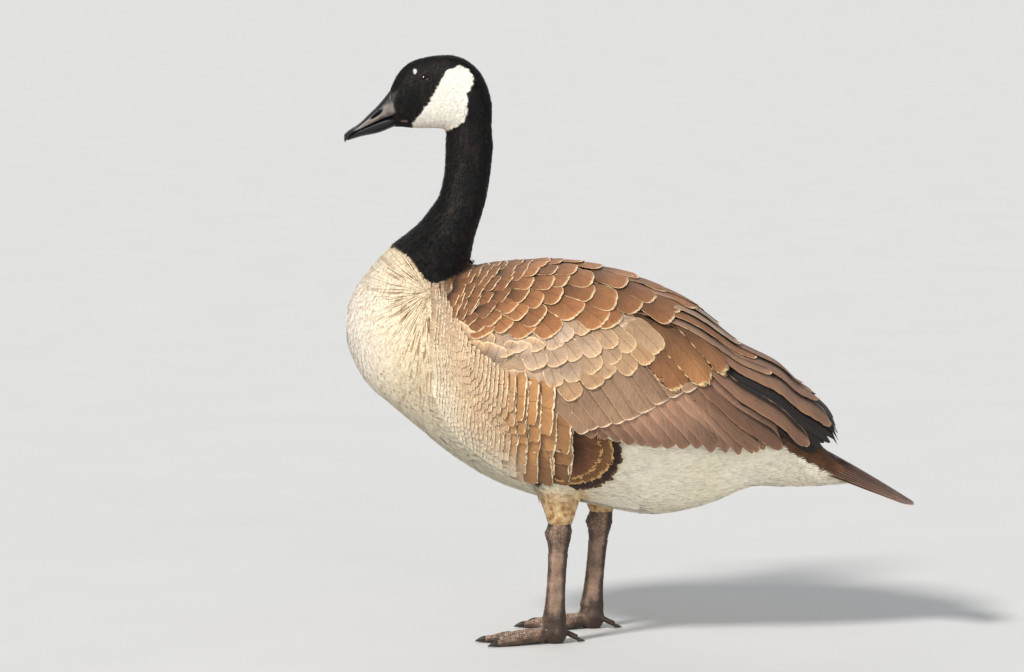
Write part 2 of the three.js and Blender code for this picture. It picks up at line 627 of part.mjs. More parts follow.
add('head', headNode, BLACK, 0.75);
add('cheek_patch', strap, WHITE, 0.8);
add('bill_upper', billUpperNode, BILL, 0.4);
add('bill_lower', billLowerNode, BILL, 0.45);
add('eye_left', eyeLeft, EYE_COLOUR, 0.08);
add('eye_right', mirror(eyeLeft), EYE_COLOUR, 0.08);
add('neck_upper', neckUpper, BLACK, 0.75);
add('neck_lower', neckLower, BLACK, 0.75);
add('torso', torsoBlock, CREAM, 0.8);
add('rump', rumpNode, WHITE, 0.8);
add('tail', tailNode, DARK_BROWN, 0.6);
add('wing_left', wingLeftNode, BROWN, 0.65);
add('wing_right', mirror(wingLeftNode), BROWN, 0.65);

for (const { side, sign, ankleY, footY } of LEGS) {
  const across = (whole) => (sign > 0 ? whole : mirror(whole));
  const shape = legShape(ankleY, footY);
  const thigh = columnLoft(thighShape(ankleY), SHANK_TOP_Z, 212, { sides: 14, steps: 7 });
  const shank = columnLoft(shape, SHANK_BASE_Z, SHANK_TOP_Z - GAP, { steps: 12, x: LEG_X });
  const foot = footWhole().translate([LEG_X, footY, 0]).trimByPlane([0, 0, -1], GAP - SHANK_BASE_Z);
  add(`thigh_${side}`, across(thigh.subtract(trunkClear)), CREAM, 0.8);
  add(`shank_${side}`, across(shank), LEG, 0.5);
  add(`foot_${side}`, across(foot), LEG, 0.5);
  for (const digit of TOES) {
    add(`claw_${side}_${digit.name}`, across(claw(digit).translate([LEG_X, footY, 0])), CLAW, 0.35);
  }
  add(`claw_${side}_hind`, across(hindClaw().translate([LEG_X, footY, 0])), CLAW, 0.35);
}

// Stand the goose on the floor with the middle of its bounding box over the origin.
const box = new THREE.Box3().setFromObject(goose);
const centre = box.getCenter(new THREE.Vector3());
goose.position.set(-centre.x, -centre.y, -box.min.z);

export default goose;
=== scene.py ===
# A Canada goose, life size, standing still on both feet: skin, coat of feathers, bill, eyes and legs,
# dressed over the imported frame. Sizes are in millimetres until a mesh is made, and then in metres.
import math

import bmesh
import bpy
import numpy as np
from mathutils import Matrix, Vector
from mathutils.bvhtree import BVHTree


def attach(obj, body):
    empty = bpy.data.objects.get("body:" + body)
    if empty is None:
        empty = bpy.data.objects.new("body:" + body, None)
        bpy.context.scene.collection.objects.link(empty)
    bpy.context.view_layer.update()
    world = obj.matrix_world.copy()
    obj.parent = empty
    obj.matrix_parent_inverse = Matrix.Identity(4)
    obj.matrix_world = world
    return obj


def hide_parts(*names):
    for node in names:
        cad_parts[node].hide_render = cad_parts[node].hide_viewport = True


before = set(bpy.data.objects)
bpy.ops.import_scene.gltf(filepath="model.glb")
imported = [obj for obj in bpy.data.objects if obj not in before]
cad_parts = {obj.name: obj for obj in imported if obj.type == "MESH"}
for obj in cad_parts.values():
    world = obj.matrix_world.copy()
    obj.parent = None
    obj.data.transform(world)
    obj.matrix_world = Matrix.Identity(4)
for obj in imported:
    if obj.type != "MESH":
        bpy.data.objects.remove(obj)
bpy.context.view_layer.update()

MM = 0.001

# The camera, in metres: a pixel of the frame is a millimetre at the goose's middle plane

VIEW_TARGET = (0, -0.11775, 0.303)
VIEW_DISTANCE = 4.5
VIEW_WIDTH = 1.024
VIEW_RISE = math.radians(6)
SENSOR = 36
LENS = VIEW_DISTANCE / VIEW_WIDTH * SENSOR

# Main sizes and places of the goose, in millimetres

BREAST_Y = -284.6
RUMP_END_Y = 228
HEAD_FRONT_Y = -240
HEAD_BACK_Y = -137.4
NECK_LOW_Z = 345
NECK_HIGH_Z = 522
BILL_TIP_Y = -284.2
BILL_LOWER_TIP_Y = -282.4
BILL_BASE_Y = -238.3
EYE = np.array([12.4, -203.1, 559.8])
EYE_RADIUS = 7.6
LEG_X = 45
SHANK_TOP_Z = 122.6
THIGH_TOP_Z = 212
ANKLES = {"left": -70.4, "right": -28.0}
FEET = {"left": -75.2, "right": -36.4}
SIDES = {"left": 1, "right": -1}
NECK_BASE = (-199.8, 354)

# How deep the skin lies under the coat's outline

BODY_DEPTH = 4.0
NECK_DEPTH = 1.9
HEAD_DEPTH = 0.3
THIGH_DEPTH = 1.0


# Sizes that change smoothly along one axis

def profile(*pairs):
    """A size that changes smoothly along one axis, through a few [place, size] pairs."""
    places = np.array([pair[0] for pair in pairs], float)
    sizes = np.array([pair[1] for pair in pairs], float)
    last = len(places) - 1

    def at(place):
        place = np.clip(np.asarray(place, float), places[0], places[-1])
        after = np.clip(np.searchsorted(places, place, side="right"), 1, last)
        start, end = places[after - 1], places[after]
        before = np.where(after > 1, after - 2, after)
        beyond = np.where(after < last, np.minimum(after + 1, last), after - 1)
        half = 0.5 * (end - start)
        pull = half / (start - places[before])
        push = half / (places[beyond] - end)
        p = (place - start) / (end - start)
        return (
            (-pull * p**3 + 2 * pull * p**2 - pull * p) * sizes[before]
            + ((1 + pull) * p**3 - (1.5 + 2 * pull) * p**2 + (pull - 0.5) * p + 1) * sizes[after - 1]
            + (-(1 + push) * p**3 + (1.5 + push) * p**2 + 0.5 * p) * sizes[after]
            + (push * p**3 - push * p**2) * sizes[beyond]
        )

    return at


BODY = {
    "top": profile((-285, 327), (-276, 350), (-262, 370), (-240, 386), (-205, 388), (-163, 369),
                   (-120, 370), (-80, 371), (-30, 364), (30, 341), (60, 323), (90, 297), (120, 268),
                   (150, 237), (180, 206), (205, 183.5), (228, 168)),
    "bottom": profile((-285, 305), (-277, 279), (-263, 254), (-240, 233), (-210, 208), (-180, 184),
                      (-150, 164), (-120, 149.6), (-85, 139), (-40, 132.4), (0, 123.6), (25, 121.2),
                      (60, 126.6), (90, 136), (120, 149), (150, 149), (190, 149.5), (228, 152.5)),
    "half_width": profile((-285, 14), (-276, 37), (-262, 56), (-240, 76), (-200, 94), (-165, 102),
                          (-120, 106.5), (-80, 106), (-45, 102), (0, 94), (40, 83), (80, 69), (120, 54),
                          (150, 43), (190, 32), (228, 15)),
    "middle": profile((-285, 318), (-240, 312), (-180, 285), (-130, 265), (-70, 252), (0, 243), (60, 232),
                      (110, 216), (150, 197), (190, 177), (228, 161)),
}
WINGS = {
    "top": profile((-190, 374), (-163, 371.4), (-135, 375.4), (-90, 378.5), (-60, 377.4), (-30, 372.4),
                   (0, 363.8), (30, 352.4), (60, 336.8), (90, 312.5), (105, 300), (120, 292), (150, 275.5),
                   (165, 260.5), (180, 251.5), (195, 240), (204, 230), (209, 217), (212, 204)),
    "bottom": profile((-190, 184), (-120, 146), (0, 122), (60, 118), (120, 130), (180, 155), (212, 180)),
    "half_width": profile((-190, 97.5), (-165, 104.5), (-130, 109.5), (-90, 112), (-50, 111), (-10, 107),
                          (30, 99.5), (70, 88), (110, 74), (150, 58), (180, 45.5), (212, 27)),
    "middle": profile((-190, 290), (-130, 265), (-70, 252), (-10, 240), (50, 222), (110, 205), (150, 196),
                      (180, 193), (212, 189.5)),
}
HEAD = {
    "top": profile((-240, 545), (-238.3, 551), (-229.8, 567.2), (-219.8, 576.4), (-204.8, 581.6),
                   (-189.8, 583.8), (-174.8, 583.2), (-159.8, 576.4), (-147.8, 563.5), (-141.5, 549),
                   (-137.4, 533)),
    "bottom": profile((-240, 515), (-238.3, 512.6), (-229.8, 512.6), (-219.8, 511.4), (-208, 510.9),
                      (-190, 511), (-174.8, 508.6), (-147.8, 508.5), (-137.4, 515)),
    "half_width": profile((-240, 9.5), (-238.3, 11.6), (-229.8, 15), (-219.8, 17.4), (-204.8, 19),
                          (-189.8, 21), (-174.8, 22.4), (-159.8, 22), (-147.8, 18.6), (-141.5, 13.2),
                          (-137.4, 7)),
    "middle": profile((-240, 534), (-219.8, 541), (-189.8, 543), (-159.8, 541), (-137.4, 526)),
}
NECK = {
    "centre": profile((345, -219), (369.4, -211.8), (381.4, -204.6), (393.5, -197.8), (405.6, -188.2),
                      (417.6, -179.6), (429.7, -173.2), (441.8, -167.4), (465.9, -162.4), (490, -160.4),
                      (522, -160.8)),
    "half_depth": profile((345, 50), (369.4, 50), (381.4, 46), (393.5, 41.4), (405.6, 34.8), (417.6, 30),
                          (429.7, 27.4), (441.8, 24.8), (465.9, 23.8), (502, 24.4), (522, 23.4)),
    "half_width": profile((345, 70), (369.4, 62), (381.4, 52), (393.5, 43.5), (405.6, 36), (417.6, 30.5),
                          (429.7, 26.5), (441.8, 23.6), (465.9, 21.2), (502, 20.4), (522, 19)),
}
BILL_UPPER = {
    "top": profile((-284.2, 504.5), (-281, 507.5), (-276, 511), (-267, 518), (-260, 525), (-254, 530.7),
                   (-249, 536), (-244, 542), (-238.3, 549.5)),
    "bottom": profile((-284.2, 499), (-281, 502.6), (-277.8, 504.8), (-270, 508.6), (-258, 513.8),
                      (-248, 518), (-238.3, 521.5)),
    "half_width": profile((-284.2, 3), (-281, 7.6), (-276, 10.2), (-266, 11.4), (-254, 11.6), (-244, 12),
                          (-238.3, 12.6)),
}
BILL_LOWER = {
    "top": profile((-282.4, 502.4), (-281, 503.6), (-270, 509.8), (-258, 515.2), (-248, 519.4),
                   (-238.3, 522.5)),
    "bottom": profile((-281, 498.9), (-276, 500.4), (-268, 502.8), (-254, 505.6), (-248, 507.3),
                      (-238.3, 511.3), (-232, 514)),
    "half_width": profile((-281, 4.6), (-274, 9.2), (-262, 10.8), (-248, 11.4), (-238.3, 12), (-232, 8)),
}


def thigh_form(ankle_y, sign):
    """The sizes of a thigh over the ankle of its leg, by height."""
    return {
        "centre": profile((122, ankle_y + 0.5), (145, ankle_y), (175, ankle_y - 2), (215, ankle_y - 6)),
        "half_depth": profile((122, 13.4), (134, 16.6), (146, 21), (160, 26), (185, 32), (215, 30)),
        "half_width": profile((122, 11.4), (134, 14.2), (146, 18), (160, 21), (185, 24), (215, 22)),
        "centre_x": profile((122, sign * LEG_X), (145, sign * (LEG_X + 1)), (175, sign * (LEG_X + 5)),
                            (215, sign * (LEG_X + 8))),
    }


# Small sums

def signed_power(value, power):
    """A power that keeps the sign."""
    return np.sign(value) * np.abs(value) ** power


def ease(value, start, end):
    """From 0 at start to 1 at end, smoothly."""
    share = np.clip((value - start) / (end - start), 0, 1)
    return share * share * (3 - 2 * share)


def unit(vectors):
    """Vectors of length 1."""
    return vectors / np.maximum(np.linalg.norm(vectors, axis=-1, keepdims=True), 1e-9)


def tone(code):
    """A colour given as it looks on a screen, in the renderer's linear light."""
    parts = np.array([(code >> shift & 255) / 255 for shift in (16, 8, 0)])
    return np.where(parts <= 0.04045, parts / 12.92, ((parts + 0.055) / 1.055) ** 2.4)


def mix(first, second, share):
    """From the first colour at share 0 to the second at share 1."""
    share = np.asarray(share)[..., None]
    return first * (1 - share) + second * share


def drift(places, seed=0):
    """Smooth random values from 0 to 1 over places of three axes, with grains about one unit across.

    The large odd numbers only stir the bits of each cell's place.
    """
    cell = np.floor(places).astype(np.int64)
    part = places - cell
    part = part * part * (3 - 2 * part)
    total = np.zeros(places.shape[:-1])
    for corner in range(8):
        step = np.array([corner & 1, corner >> 1 & 1, corner >> 2 & 1])
        key = (cell + step) * np.array([73856093, 19349663, 83492791])
        mixed = (key[..., 0] ^ key[..., 1] ^ key[..., 2]) + seed * 2654435
        mixed = (mixed ^ (mixed >> 13)) * 1274126177
        value = ((mixed ^ (mixed >> 16)) & 65535) / 65535
        weight = np.prod(np.where(step == 1, part, 1 - part), axis=-1)
        total += value * weight
    return total


# Shapes from a grid of faces that is bent, welded and closed

WELD = 0.02
NODE_WELD = 0.001


def scaled(form, factor):
    bmesh.ops.scale(form, vec=(factor,) * 3, verts=form.verts)
    return form


def places_of(form):
    return np.array([vert.co for vert in form.verts])


def normals_of(form):
    return np.array([vert.normal for vert in form.verts])


def shaped(columns, rows, place):
    """A grid bent by place(u, v), with the edges that meet welded."""
    form = bmesh.new()
    bmesh.ops.create_grid(form, x_segments=columns, y_segments=rows, size=1)
    flat = (places_of(form) + 1) / 2
    points = place(flat[:, 0], flat[:, 1])
    for vert, point in zip(form.verts, points):
        vert.co = point
    bmesh.ops.remove_doubles(form, verts=form.verts, dist=WELD)
    bmesh.ops.recalc_face_normals(form, faces=form.faces)
    return form


def tube(sides, steps, place):
    """A closed tube from place(along, angle, reach), where reach is 0 at the middle of both ends."""
    def at(u, v):
        row = v * (steps + 2)
        along = np.clip((row - 1) / steps, 0, 1)
        reach = ((row > 0.5) & (row < steps + 1.5)).astype(float)
        return place(along, (2 * u - 1) * math.pi, reach)

    return shaped(sides, steps + 2, at)


def section(form, y, angle, grow=0.0, power=2.0):
    """Points of rounded sections across the body, with angles counted from the top towards +X."""
    y, angle = np.broadcast_arrays(np.asarray(y, float), angle)
    middle = form["middle"](y)
    rise = np.where(np.cos(angle) > 0, form["top"](y) - middle, middle - form["bottom"](y)) + grow
    x = (form["half_width"](y) + grow) * signed_power(np.sin(angle), 2 / power)
    return np.stack([x, y, middle + rise * signed_power(np.cos(angle), 2 / power)], -1)


def body_tube(form, start, end, sides, steps, grow=0.0, power=2.0):
    """A closed form along the body, finer towards its ends."""

    def place(along, angle, reach):
        eased = (1 - np.cos(math.pi * along)) / 2
        y = start + (end - start) * (0.45 * along + 0.55 * eased)
        hub = np.stack([0 * y, y, (form["top"](y) + form["bottom"](y)) / 2], -1)
        return np.where(reach[:, None] > 0, section(form, y, angle, grow, power), hub)

    return tube(sides, steps, place)


def column_tube(form, low, high, sides, steps, grow=0.0):
    """A closed upright form, such as the neck or a thigh."""

    def place(along, angle, reach):
        z = low + (high - low) * along
        across = reach * (form["half_width"](z) + grow) * np.sin(angle)
        depth = reach * (form["half_depth"](z) + grow) * np.cos(angle)
        centre_x = form["centre_x"](z) if "centre_x" in form else 0
        return np.stack([centre_x + across, form["centre"](z) + depth, z], -1)

    return tube(sides, steps, place)


def gathered(forms):
    """Several shapes in one, each still closed on its own."""
    whole = bmesh.new()
    for form in forms:
        part = bpy.data.meshes.new("part")
        form.to_mesh(part)
        form.free()
        whole.from_mesh(part)
        bpy.data.meshes.remove(part)
    return whole


def smoothed(form, rounds, verts=None, upright=True):
    """Evens out a shape, with upright False only across and never up or down."""
    for _ in range(rounds):
        bmesh.ops.smooth_vert(form, verts=verts or form.verts, factor=0.5, use_axis_x=True, use_axis_y=True,
                              use_axis_z=upright)
    form.normal_update()
    return form


def node_form(node):
    """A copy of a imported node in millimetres, with its loose triangles welded."""
    form = bmesh.new()
    form.from_mesh(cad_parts[node].data)
    bmesh.ops.remove_doubles(scaled(form, 1 / MM), verts=form.verts, dist=NODE_WELD)
    return form


def as_object(name, data):
    """A mesh, a light or a camera in the scene, at the origin."""
    piece = bpy.data.objects.new(name, data)
    bpy.context.scene.collection.objects.link(piece)
    return piece


def finished(name, form, finish):
    """A shape in millimetres as a smooth piece with its finish."""
    mesh = bpy.data.meshes.new(name)
    scaled(form, MM).to_mesh(mesh)
    form.free()
    mesh.shade_smooth()
    mesh.materials.append(finish)
    return as_object(name, mesh)


def grown_together(form, voxel, smoothing):
    """The outside of shapes that run into one another, as one even mesh in millimetres."""
    mesh = bpy.data.meshes.new("rough")
    scaled(form, MM).to_mesh(mesh)
    form.free()
    rough = as_object("rough", mesh)
    remesh = rough.modifiers.new("remesh", "REMESH")
    remesh.mode = "VOXEL"
    remesh.voxel_size = voxel * MM
    even = bpy.data.meshes.new_from_object(rough.evaluated_get(bpy.context.evaluated_depsgraph_get()))
    bpy.data.objects.remove(rough)
    whole = bmesh.new()
    whole.from_mesh(even)
    bpy.data.meshes.remove(even)
    smoothed(whole, smoothing)
    return scaled(whole, 1 / MM)


def sheet_mesh(name, points, corners):
    """A mesh from arrays of points in millimetres and of the corners of its faces."""
    mesh = bpy.data.meshes.new(name)
    mesh.vertices.add(len(points))
    mesh.vertices.foreach_set("co", (points * MM).ravel())
    mesh.loops.add(corners.size)
    mesh.loops.foreach_set("vertex_index", corners.ravel().astype(np.int32))
    mesh.polygons.add(len(corners))
    mesh.polygons.foreach_set("loop_start", np.arange(0, corners.size, corners.shape[1], dtype=np.int32))
    mesh.update(calc_edges=True)
    mesh.shade_smooth()
    return mesh


def record_values(mesh, name, values):
    """Keeps a number or a colour for each point, for the finish to read."""
    kind, field = ("FLOAT_COLOR", "color") if values.ndim > 1 else ("FLOAT", "value")
    layer = mesh.attributes.new(name, kind, "POINT")
    layer.data.foreach_set(field, np.ascontiguousarray(values, np.float32).ravel())


def record_map(mesh, name, corner_places):
    """A UV map, from a place for each corner of each face."""
    layer = mesh.uv_layers.new(name=name)
    layer.data.foreach_set("uv", np.ascontiguousarray(corner_places, np.float32).ravel())


# Finishes

class Link:
    """A shader socket that takes part in sums."""

    def __init__(self, finish, node, socket=None):
        self.finish = finish
        self.node = node
        self.socket = socket or next(out for out in node.outputs if out.enabled)

    def out(self, name):
        return Link(self.finish, self.node, self.node.outputs[name])

    def math(self, operation, *values):
        return self.finish.node("ShaderNodeMath", {"operation": operation}, dict(enumerate(values)))

    def __add__(self, other):
        return self.math("ADD", self, other)

    def __sub__(self, other):
        return self.math("SUBTRACT", self, other)

    def __rsub__(self, other):
        return self.math("SUBTRACT", other, self)

    def __mul__(self, other):
        return self.math("MULTIPLY", self, other)

    def __truediv__(self, other):
        return self.math("DIVIDE", self, other)

    __radd__ = __add__
    __rmul__ = __mul__


class Finish:
    """A material, with the nodes that make its pattern."""

    def __init__(self, name, **constants):
        self.material = bpy.data.materials.new(name)
        self.material.use_nodes = True
        self.tree = self.material.node_tree
        self.shader = self.tree.nodes["Principled BSDF"]
        for socket, value in constants.items():
            self.shader.inputs[socket.replace("_", " ")].default_value = value

    def node(self, kind, settings=None, inputs=None):
        """Any node, with its settings made first and its sockets then fed with values or links."""
        made = self.tree.nodes.new(kind)
        for name, value in (settings or {}).items():
            if name == "stops":
                ramp = made.color_ramp.elements
                while len(ramp) < len(value):
                    ramp.new(0.5)
                for element, (place, colour) in zip(ramp, value):
                    element.position = place
                    element.color = (*colour, 1)
            else:
                setattr(made, name, value)
        for name, value in (inputs or {}).items():
            self.feed(made.inputs[name], value)
        return Link(self, made)

    def feed(self, socket, value):
        if isinstance(value, Link):
            self.tree.links.new(value.socket, socket)
        elif isinstance(value, np.ndarray):
            socket.default_value = (*value, 1) if len(value) == 3 and socket.type == "RGBA" else tuple(value)
        else:
            socket.default_value = value

    def set(self, **values):
        for name, value in values.items():
            self.feed(self.shader.inputs[name.replace("_", " ")], value)

    def value(self, name):
        return self.node("ShaderNodeAttribute", {"attribute_name": name}).out("Fac")

    def colour(self, name):
        return self.node("ShaderNodeAttribute", {"attribute_name": name}).out("Color")

    def strength(self, name):
        return self.node("ShaderNodeAttribute", {"attribute_name": name}).out("Alpha")

    def blend(self, share, first, second, blend_type="MIX"):
        """A colour Mix node, whose sockets 0, 6 and 7 take the share and the colours."""
        made = self.tree.nodes.new("ShaderNodeMix")
        made.data_type = "RGBA"
        made.blend_type = blend_type
        for index, value in ((0, share), (6, first), (7, second)):
            self.feed(made.inputs[index], value)
        return Link(self, made, made.outputs[2])

    def times(self, colour, factor):
        """A colour multiplied by a number or by another colour."""
        if isinstance(factor, Link):
            factor = self.vector(factor, factor, factor)
        return self.blend(1.0, colour, factor, "MULTIPLY")

    def step(self, value, low, high):
        """From 0 at low to 1 at high, smoothly."""
        inputs = {"Value": value, "From Min": low, "From Max": high}
        return self.node("ShaderNodeMapRange", {"interpolation_type": "SMOOTHSTEP"}, inputs)

    def vector(self, x=0.0, y=0.0, z=0.0):
        return self.node("ShaderNodeCombineXYZ", {}, {0: x, 1: y, 2: z})

    def noise(self, place, scale=1.0, detail=2.0, roughness=0.5):
        inputs = {"Vector": place, "Scale": scale, "Detail": detail, "Roughness": roughness}
        return self.node("ShaderNodeTexNoise", {}, inputs).out("Fac")

    def bump(self, height, distance, strength=1.0):
        inputs = {"Height": height, "Distance": distance, "Strength": strength}
        return self.node("ShaderNodeBump", {}, inputs).out("Normal")

    def place(self):
        return self.node("ShaderNodeTexCoord").out("Object")

    def across_and_along(self):
        """A feather's own map: millimetres across its shaft, and along it."""
        parts = self.node("ShaderNodeSeparateXYZ", {}, {0: self.node("ShaderNodeUVMap", {"uv_map": "vane"})})
        return parts.out("X"), parts.out("Y")


SHAFT_SHADE = np.array([0.35, 0.33, 0.3])
RIM_GLOW = np.array([1.5, 1.38, 1.2])


def vane_finish():
    """A feather's vane: its tint, fine slanting barbs, a thin dark shaft, a lighter rim and a pale hem."""
    finish = Finish("feather_vane", Roughness=0.62, Specular_IOR_Level=0.3, Sheen_Weight=0.08)
    across, along = finish.across_and_along()
    seed = finish.value("seed")
    away = across.math("ABSOLUTE", across)
    barb = along - away * 0.75
    streak = finish.noise(finish.vector(barb * 0.5, across * 0.045, seed * 40), 1.0, 3.0, 0.6)
    fine = finish.noise(finish.vector(barb * 2.2, across * 0.12, seed * 70), 1.0, 1.0)
    cloud = finish.noise(finish.vector(along * 0.07, across * 0.09, seed * 90), 1.0, 2.0)
    shade = streak * 0.66 + fine * 0.34 + cloud * 0.6 + 0.2
    tint = finish.times(finish.colour("tint"), shade)
    shaft = 1 - finish.step(away, 0.25, 0.75)
    tint = finish.blend(shaft * 0.35, tint, finish.times(tint, SHAFT_SHADE))
    glow = 1 - finish.step(finish.value("edge") + streak * 3.0, 1.5, 9.0)
    tint = finish.blend(glow * 0.5, tint, finish.times(tint, RIM_GLOW))
    width = finish.strength("hem")
    edge = finish.value("edge") / width + (streak - 0.5) * 1.3
    hem = (1 - finish.step(edge, 0.1, 1.5)) * (cloud * 1.1 + 0.42)
    finish.set(
        Base_Color=finish.blend(hem, tint, finish.colour("hem")),
        Normal=finish.bump(streak * 0.6 + fine * 0.8 + shaft * 0.6, 0.0007, 0.85),
    )
    return finish.material


def coat_finish(name, roughness, sheen):
    """Small feathers and the skin under them, tinted point by point, with fine lines over the breast."""
    finish = Finish(name, Roughness=roughness, Specular_IOR_Level=0.22, Sheen_Weight=sheen,
                    Sheen_Roughness=0.5)
    place = finish.place()
    parts = finish.node("ShaderNodeSeparateXYZ", {}, {0: place})
    back = parts.out("Y") / MM - NECK_BASE[0]
    fall = NECK_BASE[1] - parts.out("Z") / MM
    ahead = back.math("MINIMUM", back, 0.0)
    turn = ahead.math("ARCTAN2", ahead, fall)
    across = turn * 84 + back.math("MAXIMUM", back, 0.0) * 1.5
    away = back.math("SQRT", back * back + fall * fall)
    lines = finish.noise(finish.vector(across * 0.42, away * 0.045, parts.out("X") * 12), 1.0, 1.5, 0.55)
    line = finish.step(lines, 0.5, 0.62) * finish.strength("streak")
    grain = finish.noise(place, 900.0, 2.0)
    shade = grain * 0.24 + 0.88
    tint = finish.times(finish.colour("tint"), shade)
    finish.set(
        Base_Color=finish.blend(line, tint, finish.colour("streak")),
        Normal=finish.bump(grain, 0.0004, 0.4),
    )
    return finish.material


def bill_finish():
    """Black horn, with a paler marbled painted highlight where the pale value is high."""
    finish = Finish("bill_horn", Specular_IOR_Level=0.4)
    place = finish.place()
    grain = finish.noise(place, 260.0, 4.0, 0.6)
    blotch = finish.noise(place, 70.0, 3.0)
    pale = finish.step(blotch * 0.75 + grain * 0.55 + finish.value("pale"), 0.5, 1.05)
    finish.set(
        Base_Color=finish.blend(pale, tone(0x131318), tone(0x80776F)),
        Roughness=grain * 0.25 + 0.28,
        Normal=finish.bump(grain + blotch * 0.8, 0.0005, 0.5),
    )
    return finish.material


def leg_finish():
    """Dark skin with scales, paler on the toes, with a painted highlight on the front and the outward sides
    of the shank.
    """
    finish = Finish("leg_scales", Specular_IOR_Level=0.4)
    place = finish.place()
    cells = finish.node("ShaderNodeTexVoronoi", {"feature": "DISTANCE_TO_EDGE"},
                        {"Vector": place, "Scale": 260.0})
    crack = 1 - finish.step(cells.out("Distance"), 0.0, 0.12)
    blotch = finish.noise(place, 90.0, 3.0)
    fine = finish.noise(place, 420.0, 2.0)
    pale = finish.step(blotch * 0.7 + fine * 0.15 + finish.value("pale") * 0.6, 0.4, 1.1)
    skin = finish.blend(pale, tone(0x38291F), tone(0xB0907A))
    finish.set(
        Base_Color=finish.blend(crack * finish.value("scaly") * 0.6, skin, tone(0x1E1815)),
        Roughness=0.36 + crack * 0.2,
        Normal=finish.bump(blotch * 0.5 + fine * 0.25 - crack * finish.value("scaly") * 0.8, 0.0006, 0.7),
    )
    return finish.material


def claw_finish():
    """Dark horn."""
    finish = Finish("claw_horn", Specular_IOR_Level=0.45)
    grain = finish.noise(finish.place(), 300.0, 3.0)
    finish.set(
        Base_Color=finish.blend(grain, tone(0x1C1815), tone(0x3C342E)),
        Roughness=grain * 0.2 + 0.28,
        Normal=finish.bump(grain, 0.0002, 0.4),
    )
    return finish.material


def eye_finish():
    """A dark brown iris round the pupil, with a wet gloss."""
    finish = Finish("eye", Roughness=0.05, Specular_IOR_Level=0.35)
    ring = finish.value("ring")
    flecks = finish.noise(finish.place(), 1400.0, 3.0)
    iris = finish.blend(flecks, tone(0x140B07), tone(0x2C1A10))
    dark = finish.step(ring, 0.36, 0.44) * (1 - finish.step(ring, 0.72, 0.84))
    finish.set(Base_Color=finish.blend(dark, tone(0x050404), iris))
    return finish.material


def lid_finish():
    """Fine dark folds."""
    finish = Finish("eyelid", Roughness=0.6, Specular_IOR_Level=0.3)
    folds = finish.noise(finish.place(), 1100.0, 3.0)
    finish.set(
        Base_Color=finish.blend(folds, tone(0x0C0A09), tone(0x2A2320)),
        Normal=finish.bump(folds, 0.0003, 0.7),
    )
    return finish.material


def floor_finish():
    """A plain pale floor."""
    finish = Finish("pale_floor", Roughness=0.9, Specular_IOR_Level=0.2)
    cloud = finish.noise(finish.place(), 6.0, 4.0)
    finish.set(Base_Color=finish.blend(cloud, tone(0xC9C9C9), tone(0xCFCFCF)))
    return finish.material


VANE = vane_finish()
COAT = coat_finish("soft_coat", 0.72, 0.12)
DARK_COAT = coat_finish("dark_coat", 0.6, 0.02)
SKIN = coat_finish("feathered_skin", 0.8, 0.0)
BILL = bill_finish()
LEG = leg_finish()
CLAW = claw_finish()
EYE_GLASS = eye_finish()
LID = lid_finish()

# Camera, lights and floor

LIGHTS = (
    ("key", 3.1, 10, (-0.62, 0.6, -0.78)),
    ("fill", 1.15, 50, (-0.9, -0.3, -0.06)),
    ("back", 0.4, 40, (0.9, 0.1, -0.7)),
)
LIGHT_COLOUR = (1, 0.975, 0.93)
SKY_COLOUR = (0.93, 0.96, 1.0, 1)
SKY_STRENGTH = 0.5
FLOOR_RADIUS = 40000


def add_camera():
    """The view of the goose's left side, from a little above."""
    data = bpy.data.cameras.new("view")
    data.lens = LENS
    data.sensor_width = SENSOR
    data.clip_end = 200
    camera = as_object("view", data)
    back = Vector((math.cos(VIEW_RISE), 0, math.sin(VIEW_RISE)))
    camera.location = Vector(VIEW_TARGET) + VIEW_DISTANCE * back
    camera.rotation_euler = (-back).to_track_quat("-Z", "Y").to_euler()
    bpy.context.scene.camera = camera


def add_lights():
    """Soft studio light: each light by its strength, its spread in degrees and the way that it travels."""
    for name, strength, spread, travel in LIGHTS:
        data = bpy.data.lights.new(name, "SUN")
        data.energy = strength
        data.color = LIGHT_COLOUR
        data.angle = math.radians(spread)
        light = as_object(name, data)
        light.rotation_euler = Vector(travel).to_track_quat("-Z", "Y").to_euler()
    world = bpy.data.worlds.new("studio")
    world.use_nodes = True
    sky = world.node_tree.nodes["Background"].inputs
    sky["Color"].default_value = SKY_COLOUR
    sky["Strength"].default_value = SKY_STRENGTH
    bpy.context.scene.world = world
    bpy.context.scene.view_settings.view_transform = "Standard"


def add_floor():
    form = bmesh.new()
    bmesh.ops.create_circle(form, cap_ends=True, segments=64, radius=FLOOR_RADIUS)
    floor = finished("floor", form, floor_finish())


add_camera()
add_lights()
add_floor()

# Markings

BLACK = tone(0x0B0909)
BLACK_BROWN = tone(0x30241D)
WHITE = tone(0xFBF7EC)
CREAM = tone(0xF3E6CC)
BUFF = tone(0xCDA878)
BROWN = tone(0x8C6242)
DARK_BROWN = tone(0x3A271C)
SIDE_BUFF = tone(0xE8D2AC)
BELLY = tone(0xF0E8CE)
BREAST = tone(0xF0E7D9)
UNDER = tone(0xF8EED2)
THIGH = tone(0xEAD9B6)
THIGH_SPOT = tone(0xDDBF90)
THIGH_SPOT_DARK = tone(0xA87A48)
BARE_SKIN = tone(0x332F30)
BARE_SKIN_PALE = tone(0x5A5352)
GAPE_SKIN = tone(0x7A6456)
STREAK = tone(0xC79F6E)
STREAK_DARK = tone(0x7A5432)

# Outlines and spots of the markings in the side view, by y and z, and the foot of the black neck

